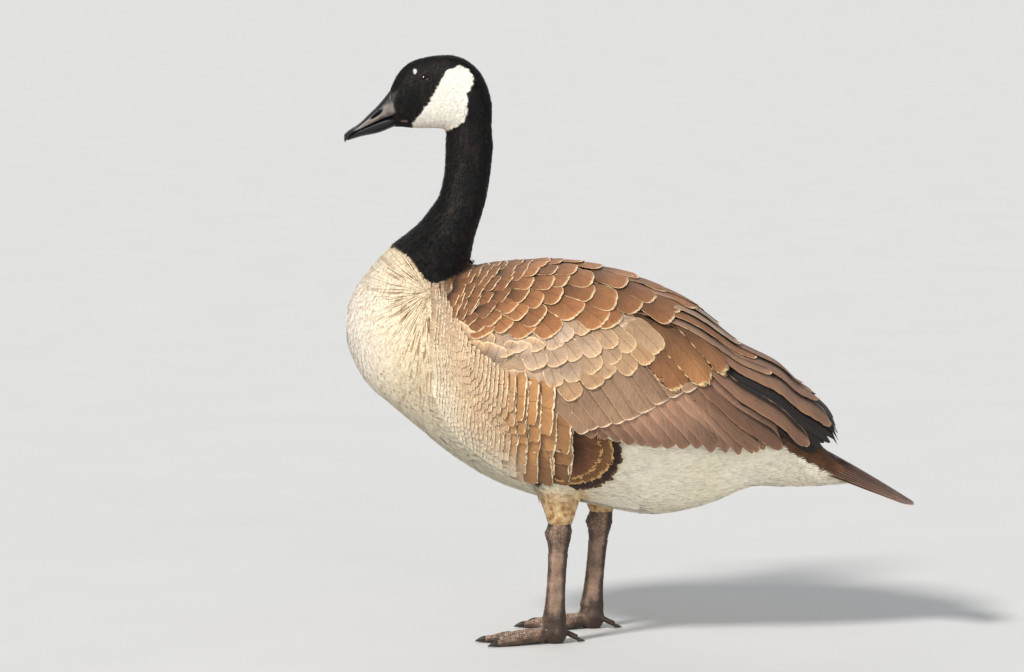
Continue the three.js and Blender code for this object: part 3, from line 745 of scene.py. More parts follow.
CHEEK = np.array([(-171, 575), (-184, 569), (-193, 553), (-203, 535), (-218, 517), (-217, 502), (-195, 502),
                  (-186, 508.5), (-180, 511), (-172, 515), (-166.5, 520.5), (-163, 530), (-162.5, 538),
                  (-163.5, 547), (-157, 558), (-157.5, 566), (-163, 572)])
BILL_SKIN = np.array([(-243, 546), (-236, 548), (-229.5, 551), (-233.5, 541), (-234.5, 534), (-232, 527),
                      (-243, 525)])
GAPE = (-226, 519)
FLECK = (-215.2, 568)
COLLAR = profile((-260, 402), (-235, 395.5), (-216, 384.4), (-206, 370.4), (-196, 362.3), (-180, 366.5),
                 (-164, 371.5), (-120, 373))


def inside(outline, y, z):
    """How far points of the side view lie inside an outline: above 0 inside it."""
    nearest = np.full(y.shape, 1e9)
    crossings = np.zeros(y.shape, int)
    for (y1, z1), (y2, z2) in zip(outline, np.roll(outline, -1, axis=0)):
        run = np.array([y2 - y1, z2 - z1])
        share = np.clip(((y - y1) * run[0] + (z - z1) * run[1]) / (run @ run), 0, 1)
        nearest = np.minimum(nearest, np.hypot(y - y1 - share * run[0], z - z1 - share * run[1]))
        level = (z1 > z) != (z2 > z)
        with np.errstate(divide="ignore", invalid="ignore"):
            crossings += level & (y < (y2 - y1) * (z - z1) / (z2 - z1) + y1)
    return np.where(crossings % 2 == 1, nearest, -nearest)


def streaks(points):
    """Fine lines that fan out from the base of the neck and run down the sides: the small feathers' tips."""
    y = points[..., 1] - NECK_BASE[0]
    fall = NECK_BASE[1] - points[..., 2]
    away = np.hypot(y, fall)
    forward = np.arctan2(np.maximum(-y, 0), fall)
    across = np.where(y < 0, -forward * 52, y * 0.62)
    coarse = drift(np.stack([across * 0.8, away / 16, 0.01 * fall], -1), 3)
    fine = drift(np.stack([across * 1.9, away / 9, 0.01 * fall], -1), 4)
    return 0.55 * coarse + 0.45 * fine, away


def coat_colour(points):
    """The colour of the coat of small feathers at each point, without the large feathers' own."""
    x, y, z = np.abs(points[..., 0]), points[..., 1], points[..., 2]
    line, _ = streaks(points)
    mottle = drift(points / 9, 5)
    cloud = drift(points / 34, 6)
    ragged = (drift(points / 2.2, 7) - 0.5) * 3

    # breast, sides, belly, the brown under the back's feathers and the dark rump
    side = ease(y, -252, -205) * ease(z, 200, 290)
    # the very front of the breast is whiter: a painted highlight where the light falls on it
    colour = mix(mix(BREAST, CREAM, ease(y, -282, -236)), SIDE_BUFF, 0.6 * side)
    colour = mix(colour, BUFF, 0.3 * side * ease(line, 0.52, 0.72))
    low = ease(-z, -225, -160) * (1 - ease(y, -60, -10))
    colour = mix(colour, BELLY, 0.85 * low)
    colour = mix(colour, mix(WHITE, UNDER, 0.5 + 0.5 * cloud), ease(y, -55, -15) * (1 - ease(z, 236, 262)))
    over = ease(z - 0.25 * np.abs(y + 60), 300, 330) * ease(y, -206, -180)
    colour = mix(colour, mix(BROWN, DARK_BROWN, 0.3 + 0.4 * mottle), over)
    ends = 1 - ease(y, 110, 130) + ease(y, 150, 165)
    saddle = ease(z - BODY["middle"](y), 4, 16) * ease(y, -40, 0) * ends
    stern = ease(z - 194 + 0.58 * (y - 150) + 0.5 * ragged, -1, 1) * ease(y, 130, 150)
    colour = mix(colour, mix(DARK_BROWN, BROWN, 0.25 + 0.4 * mottle), np.maximum(saddle * (y < 150), stern))

    # the spotted foot of each thigh
    ankle = np.where(points[..., 0] > 0, ANKLES["left"], ANKLES["right"])
    shin = ease(-z, -170, -152) * (1 - ease(np.hypot((x - LEG_X) / 22, (y - ankle) / 25), 0.95, 1.2))
    spots = mix(THIGH_SPOT, THIGH_SPOT_DARK, ease(drift(points / 2.8, 12), 0.35, 0.8))
    colour = mix(colour, mix(THIGH, spots, ease(-z + 14 * cloud, -160, -138)), shin)
    colour = colour * (0.95 + 0.08 * mottle)[..., None]

    # black neck and head, white cheek, bare skin at the bill and the corner of the mouth
    neck = ease(z - COLLAR(y) + ragged, -0.6, 0.6)
    # brown flecks on the black: partly the feathers' own brown, partly a painted sheen
    sheen = drift(points / np.array([2.6, 2.6, 9]), 11)
    black = mix(BLACK, BLACK_BROWN, 0.5 * ease(sheen, 0.5, 0.9))
    cheek = ease(inside(CHEEK, y, z) + 0.4 * ragged * (1 + ease(y, -175, -160)), -0.4, 0.4)
    cheek = np.where(z > 497, cheek, 0)
    # the cheek turns buff towards its bottom: painted shade where it turns under the chin
    white = mix(WHITE, BUFF, 0.45 * ease(-z, -522, -505) + 0.06 * mottle)
    fleck = 1 - ease(np.hypot((y - FLECK[0]) * 1.2, (z - FLECK[1]) * 0.75), 1.4, 2.5)
    gape = 1 - ease(np.hypot((y - GAPE[0]) * 0.35, z - GAPE[1]), 0.7, 1.4)
    bare = ease(inside(BILL_SKIN, y, z), -0.6, 1.6) * (x > 4)
    head = mix(mix(black, white, cheek), mix(BARE_SKIN, BARE_SKIN_PALE, mottle), bare)
    head = mix(head, GAPE_SKIN, gape * (x > 4))
    return mix(mix(colour, head, neck), WHITE, fleck * (x > 5) * 0.9)


def streak_colour(points):
    """The colour and strength of the fine dark lines that fan out over the breast."""
    y, z = points[..., 1], points[..., 2]
    _, away = streaks(points)
    near = 1 - ease(away, 16, 90)
    side = ease(y, -250, -195) * ease(z, 200, 270)
    strength = (0.12 + 0.6 * side + 0.55 * near) * (1 - ease(-z, -250, -190)) * (1 - ease(y, -80, -40))
    strength = strength * (1 - ease(z - COLLAR(y), -3, 0))
    return with_strength(mix(STREAK, STREAK_DARK, np.maximum(near, 0.6 * side)), strength)


def with_strength(colours, strength=1.0):
    """Colours with a fourth number, which the finish reads apart."""
    return np.concatenate([colours, np.broadcast_to(strength, colours.shape[:-1])[..., None]], -1)


# Skin

SKIN_VOXEL = 2.1
WING_REACH = 26
SWELL_REACH = 18
SWELL_Y = (-162, 200)
SWELL_LOW_Z = 150
SKIN_UNDER_WING = 4.5
COVERED_Y = (-168, 205)
UNDERWING = tone(0x7A5A42)
UNDERWING_REAR = tone(0x3A2A20)


def node_tree(node):
    """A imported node's surface in millimetres, to look for from outside."""
    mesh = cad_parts[node].data
    faces = [tuple(face.vertices) for face in mesh.polygons]
    return BVHTree.FromPolygons([vert.co / MM for vert in mesh.vertices], faces)


wing_trees = {side_name: node_tree(f"wing_{side_name}") for side_name in SIDES}


def wing_over(point, normal):
    """How far outside a point of the skin the folded wing lies, or None where no wing covers it."""
    tree = wing_trees["left" if point.x > 0 else "right"]
    hit = tree.ray_cast(point + WING_REACH * normal, -normal, WING_REACH + 2)
    return None if hit[0] is None else WING_REACH - hit[3]


def make_skin():
    """The flesh as one skin, swollen under the folded wings until it nearly fills them."""
    parts = [
        body_tube(BODY, BREAST_Y + 3, RUMP_END_Y - 3, 72, 90, -BODY_DEPTH),
        column_tube(NECK, NECK_LOW_Z, NECK_HIGH_Z, 48, 50, -NECK_DEPTH),
        body_tube(HEAD, HEAD_FRONT_Y + 1, HEAD_BACK_Y - 1, 56, 50, -HEAD_DEPTH, 2.15),
    ]
    for side_name, sign in SIDES.items():
        thigh = thigh_form(ANKLES[side_name], sign)
        parts.append(column_tube(thigh, SHANK_TOP_Z - 3, THIGH_TOP_Z, 40, 34, -THIGH_DEPTH))
    whole = grown_together(gathered(parts), SKIN_VOXEL, 6)
    whole.normal_update()
    for vert in list(whole.verts):
        if not SWELL_Y[0] < vert.co.y < SWELL_Y[1] or vert.co.z < SWELL_LOW_Z:
            continue
        over = wing_over(vert.co, vert.normal)
        if over is not None and over < SWELL_REACH:
            vert.co += vert.normal * max(0, over - SKIN_UNDER_WING)
    return smoothed(whole, 4)


skin_form = make_skin()
skin_tree = BVHTree.FromBMesh(skin_form)
skin_points = places_of(skin_form)
skin_normals = normals_of(skin_form)
four_sided = [face for face in skin_form.faces if len(face.verts) == 4]
skin_faces = np.array([[vert.index for vert in face.verts] for face in four_sided])
skin = finished("skin", skin_form, SKIN)

# Where the wings' feathers hide the skin, it needs no coat

covered = np.array([
    COVERED_Y[0] < point[1] < COVERED_Y[1] and wing_over(Vector(point), Vector(normal)) is not None
    for point, normal in zip(skin_points, skin_normals)
])
# the skin is darker than the coat over it: painted shade under the tufts
skin_tint = coat_colour(skin_points) * 0.85
rear = ease(skin_points[:, 1], -20, 60)
skin_tint[covered] = mix(UNDERWING, UNDERWING_REAR, rear)[covered]
record_values(skin.data, "tint", with_strength(skin_tint))
record_values(skin.data, "streak", streak_colour(skin_points))
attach(skin, "root")
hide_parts("head", "cheek_patch", "neck_upper", "neck_lower", "torso", "rump", "thigh_left",
            "thigh_right")


# Large feathers, laid on one half of the body or on a folded wing

class SideChart:
    """Places on the left half of a rounded form, by y and by the way down its side from the ridge."""

    STEP = 1.5
    LOW = -60.0
    HIGH = 340.0
    RING = 241

    def __init__(self, form, start, end):
        self.start = start
        ys = np.arange(start, end + self.STEP, self.STEP)
        rings = section(form, ys[:, None], np.linspace(0, math.pi, self.RING)[None, :])
        steps = np.linalg.norm(np.diff(rings, axis=1), axis=2)
        walked = np.concatenate([np.zeros((len(ys), 1)), np.cumsum(steps, axis=1)], axis=1)
        drops = np.arange(self.LOW, self.HIGH, self.STEP)
        self.points = np.empty((len(ys), len(drops), 3))
        for i in range(len(ys)):
            for axis in range(3):
                self.points[i, :, axis] = np.interp(np.abs(drops), walked[i], rings[i, :, axis])
        self.points[..., 0] *= np.sign(drops)
        along = np.gradient(self.points, axis=0)
        around = np.gradient(self.points, axis=1)
        self.normals = unit(np.cross(around, along))

    def place(self, y, drop, lift):
        """Points at places of the chart, lifted off the form."""
        row = np.clip((y - self.start) / self.STEP, 0, self.points.shape[0] - 1.001)
        column = np.clip((drop - self.LOW) / self.STEP, 0, self.points.shape[1] - 1.001)
        i, j = row.astype(int), column.astype(int)
        a, b = (row - i)[..., None], (column - j)[..., None]

        def between(table):
            near = table[i, j] * (1 - b) + table[i, j + 1] * b
            far = table[i + 1, j] * (1 - b) + table[i + 1, j + 1] * b
            return near * (1 - a) + far * a

        return between(self.points) + lift[..., None] * unit(between(self.normals))

    def drop_at(self, y, z):
        """The way down the side to a height, for points given by their place in the side view."""
        row = int(round((y - self.start) / self.STEP))
        first = int(round(-self.LOW / self.STEP))
        heights = self.points[row, first:, 2]
        last = int(np.argmin(heights))
        return float(np.interp(-z, -heights[:last], self.STEP * np.arange(last)))


WING_CHART = SideChart(WINGS, -190, 211)
BODY_CHART = SideChart(BODY, -284, 227)


def through(points, share):
    """A smooth line through points at even shares of its length, from share 0 to 1."""
    stops = np.linspace(0, 1, len(points))
    lines = [profile(*zip(stops, values)) for values in zip(*points)]
    return np.stack([line(share) for line in lines], -1)


def vanes(chart, roots, tips, rng, *, width, grid, tint, hem, hem_width, side_hem=1.0, sink=4, lift=2.5,
          settle=(0, 0), camber=0.8, tilt=0.0, tip=1.0, square=2.4, bend=0.0, ragged=0.03, dark_root=0.0,
          dark_tip=0.0, dark_above=0.0, base=0.55, curl=0.4):
    """Feathers from their roots to their tips, both given by chart places, as arrays for one joined mesh.

    tip is how long the rounded end is for its width, square how full its corners are, and base how wide
    the root is. side_hem narrows the hem along the sides. lift raises the tip over the chart, sink drops
    the root under it, settle lowers root and tip, camber lets the edges down, tilt raises one edge, curl
    strays at the tip, and bend sweeps the shaft. ragged frays the edge. dark_root paints shade towards
    the root, under the feather that lies over it; dark_above darkens the upper edge, partly the web's own
    darker colour and partly painted shade under the neighbour above; dark_tip darkens the tip.
    """
    roots, tips = np.array(roots, float), np.array(tips, float)
    count = len(roots)
    columns, rows = grid

    def each(value):
        return np.broadcast_to(np.asarray(value, float), count)[:, None, None]

    # places over each vane: across from -1 to 1, and reach from 0 at the root to 1 at the tip
    across = np.sin(np.linspace(-1, 1, columns + 1) * math.pi / 2)[None, None, :]
    reach = (1 - (1 - np.linspace(0, 1, rows + 1)) ** 1.5)[None, :, None]
    shaft = tips - roots
    length = np.linalg.norm(shaft, axis=1)[:, None, None]
    forward = shaft / length[:, :, 0]
    sideways = np.stack([-forward[:, 1], forward[:, 0]], -1)

    # the outline, and how far each point lies from its edge
    wide = each(width) * (1 + 0.06 * rng.standard_normal((count, 1, 1)))
    round_part = np.minimum(tip * wide / 2, 0.9 * length)
    turn = np.clip((reach * length - length + round_part) / round_part, 0, 1)
    rim = (1 - np.minimum(turn, 0.985) ** square) ** (1 / square)
    half = wide / 2 * (base + (1 - base) * ease(reach, 0, 0.45)) * rim
    nearness = (np.abs(across * rim) ** square + turn**square) ** (1 / square)
    ahead = (turn / np.maximum(nearness, 0.01)) ** square
    side_edge = half * (1 - np.abs(across)) / np.maximum(rim, 0.15) / side_hem
    around = wide / 2 * (1 - turn) + round_part * turn
    tip_edge = (1 - nearness) * around / (side_hem + (1 - side_hem) * ahead)
    edge = np.where(turn > 0, tip_edge, side_edge)

    # worn edges
    outer = np.abs(across) > 0.92
    wear = 1 - ragged * np.abs(rng.standard_normal((count, rows + 1, columns + 1))) * outer
    notch = (rng.random((count, rows + 1, columns + 1)) < 0.05) & outer & (ragged > 0.01)
    out = half * across * wear * np.where(notch, 0.88, 1)
    teeth = ragged * wide * 0.35 * rng.standard_normal((count, 1, columns + 1)) * (reach > 0.93)
    along = reach * length + teeth

    # the form over the chart
    swing = bend * length * (reach**2 - reach)
    place = (roots[:, None, None, :] + forward[:, None, None, :] * along[..., None]
             + sideways[:, None, None, :] * (out + swing)[..., None])
    rise = np.interp(reach, [0, 0.3, 0.65, 1], [0, 0.15, 0.7, 1])
    height = (each(lift) * rise - sink * np.interp(reach, [0, 0.3], [1, 0])
              - camber * across**2 * (1 - 0.5 * turn) + tilt * across
              - each(settle[0]) * (1 - reach) - each(settle[1]) * reach
              + curl * rng.standard_normal((count, 1, 1)) * reach**2)
    height, _ = np.broadcast_arrays(height, place[..., 0])
    points = chart.place(place[..., 0], place[..., 1], height)

    # colours and the values that the finish reads
    shape = points.shape[:3]
    # painted shade: dark_root darkens the root under the feather in front, dark_above the upper edge under
    # the neighbour above (partly the web's own darker colour); dark_tip is the tip's own darker colour
    shade = ((1 - dark_root * (1 - ease(reach, 0.3, 0.9))) * (1 - dark_tip * ease(reach, 0.4, 1))
             * (1 - dark_above * ease(-across, 0.05, 0.6)))
    colour = np.broadcast_to(tint, (count, 3))[:, None, None, :] * (shade * np.ones(shape))[..., None]
    hem_widths = np.broadcast_to(hem_width, count)
    hems = with_strength(np.broadcast_to(hem, (count, 3)), hem_widths)[:, None, None, :]
    return {
        "points": points,
        "edge": np.broadcast_to(edge, shape),
        "vane": np.stack(np.broadcast_arrays(out, along), -1),
        "flat": np.stack(np.broadcast_arrays((across + 1) / 2, reach), -1) * np.ones((*shape, 1)),
        "tint": with_strength(colour),
        "hem": np.broadcast_to(hems, (*shape, 4)),
        "seed": np.broadcast_to(rng.random((count, 1, 1)), shape),
    }


CELL_RIM = 0.04


def feather_piece(name, sheets, side, finish):
    """Joins sheets of feathers into one piece, on the left side or mirrored on the right."""
    joined = {key: [] for key in sheets[0]}
    corners, cells = [], []
    total = number = 0
    for sheet in sheets:
        count, rows, columns = sheet["points"].shape[:3]
        index = np.arange(count * rows * columns).reshape(count, rows, columns) + total
        quads = np.stack([index[:, :-1, :-1], index[:, :-1, 1:], index[:, 1:, 1:], index[:, 1:, :-1]], -1)
        corners.append(quads.reshape(-1, 4))
        cells.append(np.repeat(np.arange(number, number + count), rows * columns))
        for key, values in sheet.items():
            joined[key].append(values.reshape(count * rows * columns, *values.shape[3:]))
        total += count * rows * columns
        number += count
    values = {key: np.concatenate(parts) for key, parts in joined.items()}
    corners = np.concatenate(corners)[:, ::-1]
    values["points"][:, 0] *= side
    if side < 0:
        corners = corners[:, ::-1]
    mesh = sheet_mesh(name, values["points"], corners)
    for key in ("edge", "tint", "hem", "seed"):
        record_values(mesh, key, values[key])

    # one cell of a square for each feather
    across = math.ceil(math.sqrt(number))
    cell = np.concatenate(cells)
    own = np.stack([cell % across, cell // across], -1)
    record_map(mesh, "vane", values["vane"][corners.ravel()])
    patch = (own + CELL_RIM + (1 - 2 * CELL_RIM) * values["flat"]) / across
    record_map(mesh, "OFBake", patch[corners.ravel()])
    mesh.materials.append(finish)
    piece = as_object(name, mesh)
    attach(piece, "root")
    return piece


def tier(chart, rng, count, roots, tips, jitter=1.2, **look):
    """A tier of feathers with roots and tips along two smooth lines."""
    share = np.linspace(0, 1, count)
    wander = jitter * rng.standard_normal((count, 2))
    return vanes(chart, through(roots, share), through(tips, share) + wander, rng, **look)


def along_line(points, count, offset=0.5):
    """Places spread evenly along a line through chart places, with the way the line runs at each."""
    points = np.array(points, float)
    walked = np.concatenate([[0], np.cumsum(np.linalg.norm(np.diff(points, axis=0), axis=1))])
    stops = (np.arange(count) + offset) / count * walked[-1]

    def at(distance):
        return np.stack([np.interp(distance, walked, points[:, axis]) for axis in (0, 1)], -1)

    reach = 0.12 * walked[-1]
    return at(stops), unit(at(stops + reach) - at(stops - reach)), stops / walked[-1]


def row(chart, rng, line, count, widths, lengths, offset=0.5, lean=(0.3, 0.05), **look):
    """A row of feathers whose tips lie along a line, and whose shafts cross it."""
    tips, run, share = along_line(line, count, offset)
    back = np.stack([run[:, 1], -run[:, 0]], -1)
    back = np.where(back[:, :1] < 0, -back, back) + np.array(lean)
    back = unit(back + 0.07 * rng.standard_normal(back.shape))
    width = np.interp(share, [0, 1], widths) * (1 + 0.06 * rng.standard_normal(count))
    length = np.interp(share, [0, 1], lengths) * (1 + 0.05 * rng.standard_normal(count))
    tips = tips + 0.075 * width[:, None] * rng.standard_normal(tips.shape)
    return vanes(chart, tips - back * length[:, None], tips, rng, width=width, **look)


HEM = tone(0xEBCFA4)
MANTLE = tone(0x845A3A)
SCAPULAR = tone(0xA87146)
SCAPULAR_DARK = tone(0x875937)
LESSER = tone(0xC4A992)
COVERT = tone(0xBA9876)
COVERT_WARM = tone(0xAE8660)
COVERT_GOLD = tone(0xA87448)
COVERT_RUST = tone(0x976640)
COVERT_HEM = tone(0xE6C592)
GREATER = tone(0xA88669)
GREATER_DARK = tone(0x9A785E)
GREATER_HEM = tone(0xEFD8BA)
SECONDARY = tone(0xA9826A)
SECONDARY_DARK = tone(0x9B755E)
SECONDARY_HEM = tone(0xA98D7C)
TERTIAL = tone(0x8E6B54)
TERTIAL_DARK = tone(0x7C5A46)
TERTIAL_HEM = tone(0xB08A6C)
LONG_HEM = tone(0xE2C29A)
RIDGE_HEM = tone(0xC9A27C)
PALE_BROWN = tone(0x9E8069)
PRIMARY = tone(0x1E1817)

# The folded wing's tiers on its chart, by y and by the way down from the ridge: lines that a tier's roots
# and tips follow, and for the other tiers each feather's own root and tip

PRIMARY_LINES = [(70, 106), (76, 62), (74, 20)], [(186, 74), (206, 38), (208, 12)]
SECONDARY_LINES = (
    [(-78, 190), (2, 150), (52, 104)],
    [(-32, 208), (12, 204), (57, 180), (104, 138), (146, 98)],
)
GREATER_LINES = [(-90, 166), (-38, 138), (14, 92)], [(-42, 212), (3, 184), (60, 126)]
TERTIALS = (
    [(16, 124), (28, 108), (34, 86), (30, 62), (28, 42), (24, 24)],
    [(126, 123), (149, 104), (176, 75), (198, 34), (186, 19), (172, 8)],
)
TERTIAL_COVERTS = [(6, 92), (22, 76), (40, 54)], [(50, 129), (74, 105), (93, 74)]
LONG_SCAPULARS = (
    [(-28, 22), (-20, 38), (-12, 52), (-4, 62), (4, 70)],
    [(66, 4), (88, 10), (108, 17), (124, 25), (138, 38)],
)
RIDGE = (
    [(-26, 4), (0, 3), (26, 3), (52, 3), (78, 3), (102, 4), (122, 5)],
    [(30, 0), (56, -1), (84, -1), (112, 0), (140, 2), (162, 5), (182, 8)],
)


def varied(rng, count, first, second, spread=0.06):
    """A tint for each feather, between two colours and a little lighter or darker."""
    return mix(first, second, rng.random(count)) * (1 + spread * rng.standard_normal((count, 1)))


def wing_feathers(side_name):
    """The folded wing's long feathers and coverts, tier over tier from the primaries to the ridge."""
    rng = np.random.default_rng(11 if side_name == "left" else 12)
    sheets = []

    def lay(places, **look):
        sheets.append(vanes(WING_CHART, *places, rng, **look))

    def lay_tier(count, lines, jitter, **look):
        sheets.append(tier(WING_CHART, rng, count, *lines, jitter, **look))

    # dark_root and dark_above paint shade where one feather lies under another, dark_above partly the web's
    # own darker colour
    lay_tier(11, PRIMARY_LINES, 1.5, width=16, grid=(10, 24), tint=PRIMARY, hem=PRIMARY, hem_width=0.5,
             sink=6, lift=-2.8, tilt=0.6, tip=2.2, square=1.7, camber=0.5)
    lay_tier(15, SECONDARY_LINES, 0.25, width=30, grid=(14, 30),
             tint=varied(rng, 15, SECONDARY, SECONDARY_DARK, 0.03), hem=SECONDARY_HEM, hem_width=0.5,
             side_hem=0.8, sink=5, lift=0.2, tilt=1.0, tip=0.36, square=2.6, camber=0.5, dark_above=0.5,
             dark_tip=0.5, bend=-0.03, ragged=0.005)
    lay(TERTIALS, width=(22, 23, 24, 24, 20, 17), grid=(16, 34), tint=varied(rng, 6, TERTIAL, TERTIAL_DARK),
        hem=TERTIAL_HEM, hem_width=0.6, side_hem=0.7, sink=4.5, lift=1.5, tilt=1.5, tip=1.4, camber=0.8,
        dark_above=0.93, dark_tip=0.2, bend=-0.04)
    lay_tier(9, GREATER_LINES, 0.5, width=28, grid=(14, 24),
             tint=varied(rng, 9, GREATER, GREATER_DARK, 0.03), hem=GREATER_HEM, hem_width=1.3, side_hem=0.12,
             sink=3.5, lift=2.0, tilt=1.0, tip=0.5, square=3, camber=0.3, curl=0.15, dark_root=0.2,
             dark_above=0.28, ragged=0.008)
    lay(TERTIAL_COVERTS, width=(42, 42, 36), grid=(20, 26), tint=varied(rng, 3, COVERT_GOLD, COVERT_RUST),
        hem=COVERT_HEM, hem_width=2.0, side_hem=0.2, sink=3.5, lift=2.7, tilt=1.0, tip=0.7, square=3.2,
        ragged=0.09, camber=0.6, dark_root=0.55, dark_above=0.3)
    # the third long scapular is paler: a painted sheen along it
    lay(LONG_SCAPULARS, width=(18, 18, 17, 17, 14), grid=(12, 26),
        tint=np.array([MANTLE, TERTIAL, PALE_BROWN, SCAPULAR_DARK, TERTIAL]), hem=LONG_HEM, hem_width=1.0,
        side_hem=0.5, sink=3, lift=2.6, tilt=1.3, tip=1.6, dark_above=0.9, camber=0.7)
    lay(RIDGE, width=30, grid=(12, 22), tint=varied(rng, 7, MANTLE, TERTIAL), hem=RIDGE_HEM, hem_width=0.9,
        side_hem=0.5, sink=2.6, lift=-0.4, tip=1.2, camber=1.0, dark_root=0.4, curl=0.1)
    piece = feather_piece(f"wing_{side_name}_feathers", sheets, SIDES[side_name], VANE)
    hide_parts(f"wing_{side_name}")


# Rows of the back and of the wing coverts, each as its tips' line, the number of feathers, and their
# widths and lengths at both ends of the line

MANTLE_ROWS = [
    ([(-152, -6), (-160, 40), (-170, 82), (-174, 98)], 7, (28, 18), (24, 13)),
    ([(-142, -6), (-149, 28), (-165, 80), (-172, 101)], 7, (30, 18), (28, 16)),
    ([(-131, -6), (-136, 24), (-158, 78), (-174, 108)], 7, (32, 18), (30, 20)),
    ([(-120, -6), (-124, 24), (-148, 76), (-171, 111)], 7, (32, 20), (32, 22)),
    ([(-108, -6), (-112, 24), (-137, 77), (-168, 113)], 7, (34, 20), (34, 22)),
    ([(-93, -6), (-103, 35), (-126, 82), (-149, 106), (-167, 115)], 7, (34, 22), (36, 24)),
]
SCAPULAR_ROWS = [
    ([(-78, -6), (-90, 44), (-104, 80), (-127, 107), (-162, 118)], 8, (28, 19), (36, 28)),
    ([(-62, -6), (-76, 48), (-90, 94), (-122, 118), (-156, 124)], 7, (31, 24), (38, 32)),
    ([(-42, -6), (-58, 44), (-70, 84), (-82, 104), (-104, 122), (-126, 128)], 6, (34, 30), (42, 36)),
    ([(-20, -6), (-32, 34), (-37, 66), (-46, 92), (-64, 114), (-88, 131)], 5, (36, 36), (46, 44)),
    ([(8, -6), (-6, 36), (-12, 73), (-22, 96), (-46, 114)], 4, (38, 38), (50, 46)),
    ([(44, -6), (22, 30), (5, 71), (-9, 92), (-26, 106)], 4, (34, 36), (52, 46)),
    ([(74, -4), (62, 22), (47, 50), (34, 76)], 4, (30, 32), (56, 50)),
]
LESSER_ROWS = [
    ([(-168, 106), (-160, 113), (-150, 117), (-138, 119)], 6, (12, 16), (14, 24)),
    ([(-164, 118), (-152, 126), (-128, 130), (-90, 130)], 7, (14, 20), (16, 26)),
    ([(-162, 138), (-136, 146), (-108, 143), (-66, 135), (-34, 113)], 8, (16, 24), (22, 32)),
    ([(-146, 152), (-112, 160), (-76, 157), (-42, 142), (-12, 118)], 7, (19, 26), (26, 34)),
    ([(-126, 160), (-86, 177), (-50, 168), (-19, 141), (10, 108)], 7, (20, 27), (28, 36)),
]
MEDIAN_ROW = ([(-62, 186), (-33, 170), (-3, 145), (19, 118), (38, 93)], 6, (26, 30), (36, 44))

# Broad plain feathers that close the gaps under the others

UNDER_ROWS = [
    ([(-164, 92), (-148, 140), (-104, 176)], 5, (44, 56), (24, 60)),
    ([(-142, 40), (-116, 112), (-64, 172)], 5, (60, 60), (60, 60)),
    ([(-104, 10), (-66, 92), (-24, 152)], 5, (60, 60), (60, 60)),
    ([(-60, 6), (-14, 66), (22, 110)], 5, (56, 56), (60, 60)),
]


def back_feathers(side_name):
    """Wing coverts, scapulars and mantle, row over row from the wing forwards and up to the neck."""
    rng = np.random.default_rng(21 if side_name == "left" else 22)
    sheets = []

    def lay(rows, first, second, **look):
        for number, (line, count, widths, lengths) in enumerate(rows):
            sheets.append(row(
                WING_CHART, rng, line, count, widths, lengths, 0.35 + 0.3 * (number % 2),
                tint=varied(rng, count, first, second), hem=HEM, sink=3.4, square=3, **look))

    # dark_root paints shade at each feather's root, under the row in front
    lay(UNDER_ROWS, LESSER, COVERT, grid=(10, 10), lift=-0.8, hem_width=0.01, camber=0.2, curl=0.0)
    lay([MEDIAN_ROW], COVERT_WARM, COVERT, grid=(14, 16), lift=2.8, hem_width=1.7, side_hem=0.25, tip=0.8,
        dark_root=0.25, ragged=0.025, tilt=0.6)
    lay(LESSER_ROWS[::-1], LESSER, COVERT, grid=(10, 12), lift=2.5, hem_width=1.6, side_hem=0.3, tip=0.95,
        dark_root=0.3, ragged=0.02)
    lay(SCAPULAR_ROWS[::-1], SCAPULAR, SCAPULAR_DARK, grid=(14, 16), lift=2.6, hem_width=1.8, side_hem=0.22,
        tip=0.8, dark_root=0.62, ragged=0.02, tilt=0.5)
    lay(MANTLE_ROWS[::-1], MANTLE, SCAPULAR_DARK, grid=(8, 10), lift=2.2, hem_width=1.7, side_hem=0.04,
        tip=0.34, dark_root=0.85, ragged=0.02)
    feather_piece(f"back_{side_name}_feathers", sheets, SIDES[side_name], VANE)


for side_name in SIDES:
    wing_feathers(side_name)
    back_feathers(side_name)

# Flank feathers, in upright bars that grow from the breast to the thigh

FLANK = tone(0xB68454)
FLANK_FRONT = tone(0xAC875C)
FLANK_TOP = tone(0x8A5E3A)
FLANK_DARK = tone(0x4A2C1A)
FLANK_HEM = tone(0xF2E0BC)
GOLDEN = tone(0xCBA062)

# Each bar's y by its number, and the heights of its top and foot by its y

BAR_COUNT = 26
BAR_PLACES = profile((0, -192), (5, -176.5), (10, -160), (14, -146), (18, -130), (21, -112), (22, -102),
                     (23, -90), (24, -75), (25, -58))
BAR_TOPS = profile((-214, 350), (-200, 361), (-190, 359), (-180, 346), (-165, 319), (-150, 298), (-135, 287),
                   (-118, 278), (-92, 270), (-71, 260), (-52, 238))
BAR_FEET = profile((-214, 310), (-196, 262), (-170, 212), (-140, 190), (-118, 178), (-90, 172), (-52, 176))

# The dark lobe behind the thigh: layers of feathers that turn round its heart, each as its tips' line in
# the side view, the number of feathers, their width, tint, hem and hem width, and how far they are lifted

LOBE_HEART = (-74, 206)
LOBE_LAYERS = [
    ([(-44, 244), (-22, 232), (-12, 212), (-10, 192), (-18, 173), (-34, 161), (-58, 157), (-92, 160)],
     14, 24, tone(0x2E1C13), tone(0x6A4526), 1.6, 1.8),
    ([(-48, 242), (-30, 228), (-20, 211), (-18, 193), (-26, 178), (-41, 168), (-64, 165)],
     11, 20, tone(0x76502E), GOLDEN, 3.0, 2.9),
    ([(-56, 240), (-42, 228), (-32, 212), (-30, 196), (-38, 181), (-54, 172), (-70, 168)],
     9, 24, tone(0x6E4528), GOLDEN, 2.0, 3.8),
]


